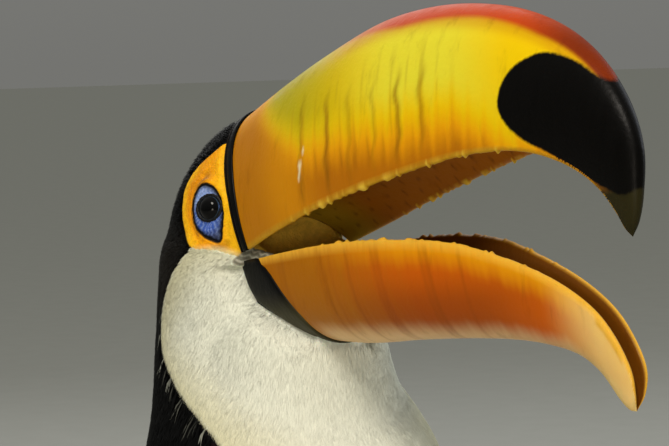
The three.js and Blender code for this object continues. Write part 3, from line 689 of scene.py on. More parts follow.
@dataclass
class Markings:
    """The bird's colours by region, shared by the skin and the coat."""

    black: str = "#040404"
    brown: str = "#20190f"
    white: str = "#f5f8e6"
    cream: str = "#d6cf9c"
    red: str = "#a01a10"
    face: str = "#ffa908"
    face_front: str = "#ffc012"
    face_rear: str = "#d98306"
    # painted shade above and below the eye's opening, under the brow and lids
    lid_shade: str = "#5a3207"
    blue: str = "#3454a4"
    blue_pale: str = "#9db4e6"
    blue_deep: str = "#164bb4"
    blue_dark: str = "#0c1226"
    blue_grey: str = "#3c3d45"
    gape: str = "#6e6c5c"
    gape_pale: str = "#cfccba"
    # mouth: the lining painted lighter than its own colour, painted light in the shaded mouth
    mouth: str = "#e4b842"
    # throat: painted shade, darkest in the middle of the gullet
    throat: str = "#1d0d04"
    face_outline: Outline = drawn(
        Outline,
        (-6, 39), (-15.6, 36.7), (-22.9, 34.6), (-28.5, 30.3), (-29.8, 24), (-29.3, 16.1),
        (-26.1, 9.9), (-22.2, 6.4), (-13.7, 3.3), (-8.5, 0), (-5, -1.4), (-2, 0.6), (2, 38),
    )
    orbit_outline: Outline = drawn(
        Outline, (-13.6, 25.9), (-10.4, 23.7), (-8.7, 20.3), (-8.2, 16.6), (-8.9, 12.8),
        (-10.1, 9.1), (-11.5, 5.6), (-14.4, 7), (-17.4, 9.6), (-19.3, 12.5), (-19.9, 15.5),
        (-19.5, 18.9), (-18.3, 22.4), (-16.3, 25),
    )
    gape_outline: Outline = drawn(
        Outline, (15, -7.6), (11, -4), (5, -0.4), (0, 0.9), (-4.5, 0.2), (-7.6, -1.4),
        (-8.4, -3.2), (-6, -5), (0, -7.2), (7, -9),
    )
    mouth_front: float = -4.5  # how far back the mouth's lining reaches at its corner
    bib_outline: Outline = drawn(
        Outline, (-19, 303), (-25, 298), (-33.6, 288), (-38.3, 277.5), (-35.1, 266),
        (-19.6, 255.5), (-0.5, 245.6), (13.5, 237), (21, 227), (30, 214), (46, 204), (75, 200),
        (95, 260), (70, 312), (20, 312),
    )

    def bare(self, bird: Array) -> Array:
        """How far inside the bare face or mouth corner places lie, in mm."""
        head = to_head(bird)
        face = self.face_outline.depth(head[:, 0], head[:, 2])
        gape = self.gape_outline.depth(head[:, 0], head[:, 2])
        return np.maximum(face, gape)

    def bib(self, bird: Array) -> Array:
        """How far inside the white bib places lie, in mm."""
        return self.bib_outline.depth(bird[:, 0], bird[:, 2])

    def feathers(self, bird: Array) -> Array:
        """The plumage's colour at each place: black, brown on the nape, a white bib edged with red."""
        bib = self.bib(bird)
        tone = plain(self.black, bird)
        nape = np.exp(-(((bird[:, 0] + 42) / 16) ** 2 + ((bird[:, 2] - 294) / 10) ** 2))
        tone = tint(tone, self.brown, 0.6 * nape)
        band = ease(-5, -2.5, bib) * (1 - ease(-1, 0.5, bib)) * ease(238, 222, bird[:, 2])
        tone = tint(tone, self.red, band)
        tone = tint(tone, self.white, ease(-0.8, 0.1, bib))
        # darker olive cream within 18 mm inside the bib's border: painted shade where the neck turns
        # aside
        return tint(tone, self.cream, ease(0, 1, bib) * ease(18, 0, bib) * 0.65)

    @staticmethod
    def hollow(head: Array) -> Array:
        """Where the skin lies inside the mouth."""
        return np.hypot(head[:, 1] / 17.8, (head[:, 2] + 0.5) / 11.4) < 1

    def tones(self, bird: Array) -> Array:
        """The skin's colour at each place.

        Args:
            bird: Places in the bird's frame, in mm.

        Returns:
            Linear colours, one row a place.
        """
        head = to_head(bird)
        x, z = head[:, 0], head[:, 2]
        face, orbit, gape = (
            outline.depth(x, z)
            for outline in (self.face_outline, self.orbit_outline, self.gape_outline)
        )
        skin = plain(self.face, bird)
        skin = tint(skin, self.face_front, ease(-13, -7, x))
        skin = tint(skin, self.face_rear, ease(-14, -27, x) * ease(8, 34, z) * 0.8)
        skin = tint(skin, self.face_front, ease(5, 1, face) * ease(-18, -24, x))
        # dark brown above and below the eye's opening: painted shade of the brow and lids
        lid_shade = np.exp(-(((x + 16.5) / 3.8) ** 2 + ((z - 27.2 - 0.25 * (x + 16.5)) / 1.5) ** 2))
        above = np.exp(-(((x + 14.5) / 1.5) ** 2 + ((z - 30) / 1.6) ** 2))
        below = np.exp(-(((x + 11.5) / 3) ** 2 + ((z - 3.4) / 1.8) ** 2))
        skin = tint(skin, self.lid_shade, (0.85 * lid_shade + 0.3 * above + 0.4 * below).clip(0, 0.85))
        skin = tint(skin, self.cream, ease(2.2, -0.2, face) * ease(8, 3, z) * ease(-4, -9, x) * 0.75)
        tone = np.where(face[:, None] > -0.3, skin, self.feathers(bird))
        around, away = np.arctan2(z - EYE_Z, x + 13.3), np.hypot(z - EYE_Z, x + 13.3)
        streak = 0.5 + 0.5 * np.sin(31 * around + 0.8 * np.sin(2.9 * away) + 1.7 * np.sin(7 * around))
        line = 0.5 + 0.5 * np.sin(1.3 * x + 3.1 * z + 1.2 * np.sin(1.1 * x - 0.6 * z))
        tone = tint(tone, self.gape, ease(-0.6, 0.6, gape))
        tone = tint(tone, self.gape_pale, ease(0, 1, gape) * ease(0.4, 1.0, line) * 0.5)
        tone = tint(tone, self.black, ease(-1.0, -0.5, orbit))
        inner = tint(plain(self.blue, tone), self.blue_deep, ease(15, 12, z) * ease(-11, -13, x))
        inner = tint(inner, self.blue_pale, ease(17, 21, z) * 0.5 + (0.1 + 0.5 * streak**3))
        inner = tint(inner, self.blue_grey, ease(11.5, 7.5, z) * (0.85 - 0.4 * streak**2))
        inner = tint(inner, self.blue_dark, ease(1.8, 0.5, orbit) * 0.6)
        mixed = tone + (inner - tone) * ease(0.25, 0.8, orbit)[:, None]
        tone = np.where((orbit > 0.1)[:, None], mixed, tone)
        # the mouth's lining, painted lighter than its own colour: painted light
        inside = ease(self.mouth_front, self.mouth_front + 1.5, x) * ease(-17, -13, z) * (z < 20)
        tone = tint(tone, self.mouth, inside * ease(0.5, -0.5, gape))
        # the lining darkens towards the gullet's middle: painted shade deep in the throat
        gullet = ease(1.15, 0.6, np.hypot(head[:, 1] / 11, (z + 5) / 5.5))
        lining = tint(plain(self.mouth, tone), self.throat, gullet)
        return np.where(self.hollow(head)[:, None], lining, tone)


# ---- bill


def edge_columns(values: Array) -> tuple[Array, Array, Array, Array]:
    """A bill's rows: its edge's places, the way to ridge or keel, the height and the half width."""
    far_x, far_z, edge_x, edge_z, half = values.T
    way = xyz(far_x - edge_x, 0 * far_x, far_z - edge_z)
    height = np.linalg.norm(way, axis=-1)
    return xyz(edge_x, 0 * edge_x, edge_z), unit(way), height, half


def teeth(x: Array) -> Array:
    """The cutting edge's uneven teeth, from 0 to 1, by how far along the bill a place lies."""
    place = x / 6.4 + 0.3 * np.sin(0.41 * x) + 0.22 * np.sin(0.87 * x + 1.0)
    number = np.floor(place)
    return (0.6 + 0.4 * np.sin(2.4 * number + 0.7)) * np.exp(-(((place - number - 0.5) / 0.19) ** 2))


@dataclass
class UpperBill:
    """The upper half of the bill, its palate and the black band at its base."""

    rows: tuple = (
        # ridge x, z, cutting edge x, z, half width
        (-4.5, 48.8, 0.5, -0.5, 22.0), (25, 50.8, 24, 0.0, 23.5), (53, 51.9, 51, 0.2, 23.0),
        (82, 51.5, 77, -0.8, 21.1), (108, 46.9, 100, -2.3, 18.4), (131, 39.4, 119, -4.2, 15.8),
        (150, 30.4, 135, -7.2, 13.6), (166, 19.2, 148, -11.5, 11.3), (177.5, 6.5, 158, -16.9, 9.2),
        (185, -8.2, 166, -23.3, 7.1), (187, -21.9, 171.4, -30.3, 5.1),
        (183.5, -33.7, 174.2, -37.6, 3.3), (179.6, -41.2, 174.9, -42.6, 1.8),
        (175.5, -45.5, 175.5, -45.5, 0.0),
    )
    wall: float = 2.4
    edge_angle: float = math.radians(106)
    palate_rise: float = 0.2
    teeth_from: float = 42.0
    teeth_to: float = 138.0
    teeth_depth: float = 1.0
    band_proud: float = 0.8
    # height, and how far along the band's two borders lie there
    band_rear: tuple = (
        (0.9, -3.2), (8.4, -3.9), (17.5, -4.6), (27.6, -6.8), (37.2, -8.6), (49, -9.8),
    )
    band_front: tuple = (
        (0.2, 1.2), (16.3, 0.7), (25.9, -0.4), (34.4, -2.4), (40.8, -4.0), (49, -5.2),
    )
    stains: tuple = (47.0, 62.5, 75.0, 88.0, 100.0, 111.5)  # dark runs down its sides
    # the pale chips on its right side: along, height, half width, half height
    chips: tuple = ((45.6, 14.2, 0.75, 2.3), (44.5, 11.8, 0.8, 0.8), (48.8, 18.6, 0.45, 1.1))
    # how low the yellow reaches, and how many degrees wide the red ridge is, by place along
    yellow_down: tuple = (
        (12, 42), (35, 27), (47, 21), (59, 20), (81, 16), (90, 13), (109, 10), (123, 8), (134, 1),
        (145, -8),
    )
    ridge_wide: tuple = ((30, 8), (62, 22), (99, 31), (135, 26), (160, 27), (180, 20))
    collar: str = "#050505"
    collar_rear: str = "#3a2208"
    ridge: str = "#c44402"
    ridge_front: str = "#5e2003"
    top: str = "#c98703"
    yellow: str = "#f2cc00"
    green: str = "#b3a903"
    # pale: a painted highlight on the upper middle of the side
    pale: str = "#e6e23a"
    side: str = "#f0a403"
    low: str = "#b66a03"
    base: str = "#c27a03"
    rim: str = "#d8a21c"
    tooth: str = "#f6cf46"
    stain: str = "#8a5a03"
    chip: str = "#f4e9bd"
    # palate and palate_rear: the palate painted lighter than its own colour, painted light through the
    # horn
    palate: str = "#a9620a"
    palate_rear: str = "#b08a1c"
    # palate_spot: the palate's own dark spots, and the painted shade of its crease
    palate_spot: str = "#4a1803"
    # hook: black horn with a painted sheen, dark olive
    hook: str = "#2a2610"
    spot: Outline = drawn(
        Outline, (142.7, 4.2), (146.8, 10.6), (154, 13.8), (163.1, 13.6), (172.8, 7.9),
        (181, -0.4), (192, -9), (196, -25), (182, -34), (173.8, -30.5), (163.4, -20.6),
        (156.1, -14), (149.3, -8.6), (144.4, -2.4),
    )

    def outside(self, t: Array, angle: Array) -> tuple[Array, Array]:
        """Places outside at an angle from the ridge, and how far up from the edge, as a share."""
        edge, up, height, half = edge_columns(Track(self.rows).at(t))
        floor = math.cos(self.edge_angle)
        rise = height * (np.cos(angle) - floor) / (1 - floor)
        across = half * np.sign(angle) * np.abs(np.sin(angle)) ** 0.88
        return edge + up * rise[..., None] + xyz(0, across, 0), rise / np.maximum(height, 1)

    def half_at(self, x: Array, z: Array) -> Array:
        """How far out the bill's side lies at a place in its side view."""
        edge, _, height, half = edge_columns(Track(self.rows).at(Track(self.rows).reach(2, x)))
        floor = math.cos(self.edge_angle)
        cosine = ((z - edge[:, 2]) / height * (1 - floor) + floor).clip(-1, 1)
        return half * (1 - cosine**2) ** 0.44

    def paint(self, places: Array, angle: Array, rise: Array) -> tuple[Array, Array]:
        """The outside's colour, and how far inside a dark patch each place lies, in mm."""
        x, z = places[:, 0], places[:, 2]
        lean = x - 0.15 * (z - 20) + 0.006 * np.clip(20 - z, 0, 25) ** 2
        wave = np.sin(0.9 * lean + 0.08 * z) + 0.6 * np.sin(1.7 * lean + 1.0)
        wave = wave + 0.4 * np.sin(0.41 * lean)
        up = z - read(self.yellow_down, x) - 1.1 * wave * ease(30, 50, x)
        tone = plain(self.side, places)
        tone = tint(tone, self.yellow, ease(-6, 6, up) * ease(8, 32, x))
        tone = tint(tone, self.green, ease(-2, 12, up) * ease(8, 26, x) * ease(104, 30, x) * 0.95)
        # a pale lime patch on the side's upper middle: painted highlight
        tone = tint(tone, self.pale, ease(62, 100, x) * ease(152, 120, x) * ease(2, 14, up) * 0.8)
        tone = tint(tone, self.low, ease(-2, -13, up) * ease(20, 60, x) * 0.9)
        tone = tint(tone, self.base, ease(52, 14, x) * ease(6, -6, up) * 0.95)
        off = np.abs(angle)
        tone = tint(tone, self.top, ease(*np.radians([42, 30]), off) * ease(50, 80, x) * 0.6)
        strip = np.radians(read(self.ridge_wide, x))
        on_ridge = ease(0.08, -0.06, off - strip) * ease(34, 95, x)
        tone = tint(tone, self.ridge, on_ridge)
        tone = tint(tone, self.ridge_front, on_ridge * ease(148, 174, x) * 0.8)
        for number, centre in enumerate(self.stains):
            away = lean - centre - 0.7 * np.sin(0.33 * z + number) - 0.4 * np.sin(0.71 * z + 2 * number)
            run = np.exp(-((away / (0.9 + 0.25 * (number % 3))) ** 2)) * ease(-2, 8, z)
            run = run * ease(44, 34, z + 0.12 * x) * (0.5 + 0.2 * np.sin(1.9 * number))
            tone = tint(tone, self.stain, run)
        fine = ease(0.75, 1.7, wave + 0.5 * np.sin(3.1 * lean + 0.2 * z))
        fine = fine * ease(30, 45, x) * ease(135, 110, x)
        tone = tint(tone, self.stain, fine * 0.22 * ease(1, 8, z) * ease(40, 30, z))
        on_right = (places[:, 1] < 0).astype(float)
        for cx, cz, wide, tall in self.chips:
            slant = x - cx - 0.3 * (z - cz)
            mark = ease(1.25, 0.75, np.hypot(slant / wide, (z - cz) / tall)) * on_right
            tone = tint(tone, self.chip, mark * 0.85)
        tone = tint(tone, self.rim, ease(0.022, 0.008, rise) * 0.7)
        tooth = ease(0.034, 0.012, rise) * teeth(x) * ease(24, 50, x) * ease(150, 130, x)
        tone = tint(tone, self.tooth, tooth)
        # the hook dark olive: black horn with a painted sheen
        tone = tint(tone, self.hook, ease(-24, -33, z))
        dark = (read(self.band_front, z) - 0.3 - x) * 0.8
        return tone, np.maximum(self.spot.depth(x, z), dark)

    def lay(self, u: Array, v: Array) -> Sheet:
        """The closed section: the outside from edge to edge, then the rim, palate and rim."""
        t = u * (len(self.rows) - 1)
        edge, up, height, half = edge_columns(Track(self.rows).at(t))
        angle = np.interp(v, [0, 0.62], [-self.edge_angle, self.edge_angle])
        outside, rise = self.outside(t, angle)
        tone, dark = self.paint(outside, angle, rise)
        lip = half * math.sin(self.edge_angle) ** 0.88
        wall = np.minimum(self.wall, 0.45 * half)
        turn = np.where(v > 0.8, (1 - v) / 0.05, (v - 0.62) / 0.05).clip(0, 1)
        middle = np.interp(v, [0.67, 0.95], [1, -1])
        side = np.where(v > 0.8, -1, 1)
        window = ease(self.teeth_from - 20, self.teeth_from, edge[:, 0])
        window = window * ease(self.teeth_to + 4, self.teeth_to, edge[:, 0])
        beads = self.teeth_depth * teeth(edge[:, 0])
        on_rim = turn < 1
        across = np.where(on_rim, side * (lip - wall * turn), (lip - wall) * middle)
        hang = np.sin(np.pi * turn) * (0.25 * wall + beads * window)
        arch = self.palate_rise * height * (1 - middle**2)
        inner_rise = np.where(on_rim, 0.4 * turn - hang, arch + 0.4) * np.minimum(1, height)
        inner = edge + up * inner_rise[:, None] + xyz(0, across, 0)
        is_inner = v > 0.62
        px, py = inner[:, 0], inner[:, 1]
        # the palate painted lighter than its own colour, lightest at the rear: painted light through
        # the horn
        lining = plain(self.palate, tone)
        lining = tint(lining, self.palate_rear, ease(28, 6, px))
        # a dark line across the palate: painted shade of a crease; the spots are the palate's own marks
        crease = np.exp(-(((px - 30 - 0.9 * (py + 8) - 2 * np.sin(0.4 * py)) / 0.9) ** 2))
        spots = ease(1.5, 1.9, np.sin(0.61 * px + 0.8 * py) + np.sin(0.93 * px - 0.57 * py + 1.3))
        marked = 0.6 * crease * ease(12, 4, np.abs(py)) + 0.5 * spots
        lining = tint(lining, self.palate_spot, marked)
        lining = tint(lining, self.rim, on_rim * ease(0.8, 0.2, turn))
        lining = tint(lining, self.tooth, on_rim * teeth(edge[:, 0]) * window * 0.9)
        places = np.where(is_inner[:, None], inner, outside)
        tone = np.where(is_inner[:, None], lining, tone)
        dark = np.where(is_inner, -5.0, dark)
        return places, {"tone": tone, "dark": dark}

    def lay_band(self, u: Array, v: Array) -> Sheet:
        """The band: a collar over the bill's base, with a raised rear lip and a groove."""
        angle = (2 * v - 1) * self.edge_angle
        crown = np.sqrt(np.clip(1 - (2 * u - 1) ** 6, 0, 1))
        groove = np.exp(-(((u - 0.36) / 0.09) ** 2))
        grow = self.band_proud * (crown * 1.25 - 0.5 * groove) - 0.1
        places, _ = self.outside(np.zeros_like(angle), angle)
        out = unit(places - xyz(-2, 0 * angle, 22 + 0 * angle))
        out[:, 0] = 0
        rear, front = (read(line, places[:, 2]) for line in (self.band_rear, self.band_front))
        places[:, 0] = rear + (front - rear) * u
        places = places + out * grow[:, None]
        tone = tint(plain(self.collar, places), self.collar_rear, ease(0.3, 0.05, u) * 0.6)
        return places, {"tone": tone, "dark": np.full(len(u), -5.0)}

    def build(self, horn: Material, dull: Material) -> None:
        """Makes the upper bill and its band."""
        bill = laid("upper_bill", 330, 128, self.lay, Axes.HEAD)
        dress(bill, horn, "orange_horn", ("bill_upper",))
        band = laid("upper_bill_band", 24, 120, self.lay_band, Axes.HEAD, 1.6)
        dress(band, dull, "black_horn", ("bill_band_upper",))


@dataclass
class LowerBill:
    """The lower half of the bill, its trough and the slanting black band at its base."""

    rows: tuple = (
        # keel x, z, cutting edge x, z, half width
        (-14, -21.7, -14, 0.7, 19.2), (10, -25.1, 10, 3.2, 19.2), (40, -26.6, 40, 5.8, 18.0),
        (70, -25.3, 72, 6.6, 15.5), (98, -24.6, 102, 4.8, 11.0), (121, -24.8, 127, -0.7, 7.6),
        (138, -26.2, 147, -7.1, 5.8), (152.2, -29.0, 162.2, -14.5, 4.6),
        (162.3, -34.2, 171.5, -22.4, 4.0), (170, -41.4, 178, -32.1, 3.4),
        (173.8, -44.2, 178.6, -39.5, 2.1), (176.6, -44.6, 176.6, -44.6, 0.0),
    )
    wall: float = 2.6
    trough: float = 0.5
    from_row: float = 0.45
    # height, and how far along the band's two borders lie there
    band_rear: tuple = (
        (-27, 22), (-24, 19.6), (-21.1, 15), (-18.6, 10), (-15.2, 3.3), (-11.3, -3.4), (-6.5, -5.6),
        (-1.8, -7.2), (1, -8.2),
    )
    band_front: tuple = (
        (-27, 26), (-22.1, 23.4), (-16.6, 21), (-12.1, 17.4), (-7.8, 13.8), (-3.4, 10), (-0.7, 6.8),
        (1.4, 2.9),
    )
    band_proud: float = 0.8
    # the pale keel's upper border and the cutting edge, as heights by place along
    keel_up: tuple = ((20, -22.5), (70, -22.5), (120, -22.5), (150, -26), (175, -40))
    edge_line: tuple = (
        (0, 2), (40, 5.8), (72, 6.6), (102, 4.8), (127, -0.7), (147, -7.1), (162, -14.5), (178, -32),
    )
    edge: str = "#ec9c03"
    base: str = "#b06a03"
    middle: str = "#cf6002"
    low: str = "#a04802"
    # keel: a painted highlight along the keel, pale cream
    keel: str = "#efc993"
    # tip: a painted highlight, cream towards the front
    tip: str = "#ffda84"
    # inside: painted shade, the trough dark brown
    inside: str = "#6b3c08"
    # rim: a painted highlight along the cutting edge, its teeth and the trough's rims
    rim: str = "#ecb438"
    stain: str = "#7d3f03"
    collar: str = "#070707"
    # collar_low: the band's brownish grey low down, with a painted sheen of grazing light
    collar_low: str = "#4c4930"

    def outside(self, t: Array, angle: Array) -> Array:
        """Places on the outside, at an angle from the keel."""
        edge, down, height, half = edge_columns(Track(self.rows).at(t))
        drop = height * np.clip(np.cos(angle), 0, 1) ** 0.75
        return edge + down * drop[..., None] + xyz(0, half * np.sin(angle), 0)

    def half_at(self, x: Array, z: Array) -> Array:
        """How far out the bill's side lies at a place in its side view."""
        edge, _, height, half = edge_columns(Track(self.rows).at(Track(self.rows).reach(2, x)))
        drop = (edge[:, 2] - z).clip(0, height - 3) / height
        return half * np.sqrt(1 - drop ** (2 / 0.75))

    def keel_height(self, x: Array) -> Array:
        """How high the keel lies at a place along the bill."""
        return read(np.array(self.rows)[:-2, :2], x)

    def paint(self, places: Array) -> Array:
        """The outside's colour."""
        x, z = places[:, 0], places[:, 2]
        lean = x + 0.12 * z
        wave = np.sin(0.37 * lean + 1.4 * np.sin(0.11 * lean)) + 0.7 * np.sin(0.83 * lean + 1.0)
        wave = wave + 0.5 * np.sin(1.9 * lean + 1.2 * np.sin(0.23 * lean))
        tone = plain(self.middle, places)
        tone = tint(tone, self.low, ease(-2, -14, z) * ease(150, 110, x) * 0.8)
        tone = tint(tone, self.base, ease(88, 30, x + 3 * wave))
        low, top = read(self.keel_up, x), read(self.edge_line, x)
        tone = tint(tone, self.edge, ease(9, 1.5, top - z + 0.5 * wave) * ease(20, 90, x))
        # a pale cream band along the keel: painted highlight
        tone = tint(tone, self.keel, ease(4.5, -2.5, z - low + 0.3 * wave) * ease(16, 34, x) * 0.9)
        tone = tint(tone, self.stain, ease(0.5, 2.0, wave) * 0.3 * ease(130, 90, x))
        # cream towards the tip: painted highlight
        tone = tint(tone, self.tip, ease(140, 168, x) * 0.8)
        # a pale line along the cutting edge, brighter on its teeth: painted highlight
        tone = tint(tone, self.rim, ease(1.1, 0.3, top - z) * 0.8)
        return tint(tone, self.rim, ease(1.8, 0.4, top - z) * teeth(x + 3) * ease(24, 50, x))

    def lay(self, u: Array, v: Array) -> Sheet:
        """The closed section: the outside from edge to edge, then the rim, trough and rim."""
        t = self.from_row + u * (len(self.rows) - 1 - self.from_row)
        edge, down, height, half = edge_columns(Track(self.rows).at(t))
        angle = np.interp(v, [0, 0.55], [-math.pi / 2, math.pi / 2])
        outside = self.outside(t, angle)
        wall = np.minimum(self.wall, 0.45 * half)
        inner_half = half - wall
        turn = np.where(v > 0.78, (1 - v) / 0.05, (v - 0.55) / 0.05).clip(0, 1)
        middle = np.interp(v, [0.6, 0.95], [1, -1])
        side = np.where(v > 0.78, -1, 1)
        on_rim = turn < 1
        across = np.where(on_rim, side * (half - wall * turn), inner_half * middle)
        bowl = self.trough * height * np.clip(1 - middle**2, 0, 1) ** 0.6 + 0.4
        tooth = 0.9 * teeth(edge[:, 0] + 3) * ease(24, 50, edge[:, 0]) * ease(150, 120, edge[:, 0])
        drop = np.where(on_rim, 0.4 * turn - np.sin(np.pi * turn) * (0.22 * wall + tooth), bowl)
        inner = edge + down * (drop * np.minimum(1, height / 4))[:, None] + xyz(0, across, 0)
        is_inner = v > 0.55
        # the trough painted dark brown: painted shade inside the bill
        lining = plain(self.inside, inner)
        lining = tint(lining, self.rim, on_rim * ease(1.0, 0.3, turn))
        tone = np.where(is_inner[:, None], lining, self.paint(outside))
        places = np.where(is_inner[:, None], inner, outside)
        dark = (read(self.band_front, outside[:, 2]) - 0.8 - outside[:, 0]) * 0.8
        return places, {"tone": tone, "dark": np.where(is_inner, -5.0, dark)}

    def lay_band(self, u: Array, v: Array) -> Sheet:
        """The band between its rear and front curves, a shallow collar."""
        angle = (2 * v - 1) * math.pi / 2
        track = Track(self.rows)
        crown = np.sqrt(np.clip(1 - (2 * u - 1) ** 6, 0, 1))
        grow = self.band_proud * crown - 0.05
        z = self.outside(track.reach(2, np.full_like(u, 5.0)), angle)[:, 2]
        x = read(self.band_rear, z) * (1 - u) + read(self.band_front, z) * u
        places = self.outside(track.reach(2, x), angle)
        out = unit(places - xyz(places[:, 0], 0, -6))
        places = places + out * grow[:, None]
        z = places[:, 2]
        streak = 0.5 + 0.5 * np.sin(2.6 * (places[:, 0] + 0.5 * z) + np.sin(z))
        # greyer olive towards the band's lower edge: partly its own brownish grey, partly a painted
        # sheen of grazing light
        wear_and_sheen = ease(-8, -19, z) * (0.5 + 0.25 * streak)
        tone = tint(plain(self.collar, places), self.collar_low, wear_and_sheen)
        return places, {"tone": tone, "dark": np.full(len(u), -5.0)}

    def build(self, horn: Material, dull: Material) -> None:
        """Makes the lower bill and its band."""
        bill = laid("lower_bill", 300, 112, self.lay, Axes.JAW)
        dress(bill, horn, "orange_horn", ("bill_lower",))
        band = laid("lower_bill_band", 30, 96, self.lay_band, Axes.JAW, 1.2)
        dress(band, dull, "black_horn", ("bill_band_lower",))


@dataclass
class Tongue:
    """A long thin blade with frayed edges, lying in the lower bill."""

    start: float = -9.0
    end: float = 128.0
    half_width: float = 4.2
    half_thick: float = 0.9
    rise: float = -3.5
    fray: float = 2.2  # between its notches
    taper: tuple = ((0, 1), (0.28, 1), (0.5, 0.8), (0.76, 0.55), (0.97, 0.25), (1, 0))

    def lay(self, u: Array, v: Array) -> Sheet:
        """The closed blade, flat, its edge notched towards the tip."""
        x = self.start + (self.end - self.start) * u
        width = self.half_width * read(self.taper, u)
        notch = 1 - 0.22 * (np.abs((x / self.fray) % 2 - 1)) * ease(0.35, 0.6, u)
        turn = 2 * np.pi * v
        side = np.cos(turn) * width * (1 - (1 - notch) * np.abs(np.cos(turn)))
        thick = self.half_thick * np.minimum(1, width) * np.sin(turn)
        return xyz(x, side, self.rise + thick - 0.012 * (u - 0.3) ** 2 * 60), {}

    def build(self) -> None:
        """Makes the tongue."""
        finish = PlainSkin("tongue_skin_dry", "#5a3a22", "#2b170c", 1.5, 0.5).build()
        dress(laid("tongue_blade", 260, 16, self.lay, Axes.JAW), finish, "tongue", ("tongue",))


# ---- body


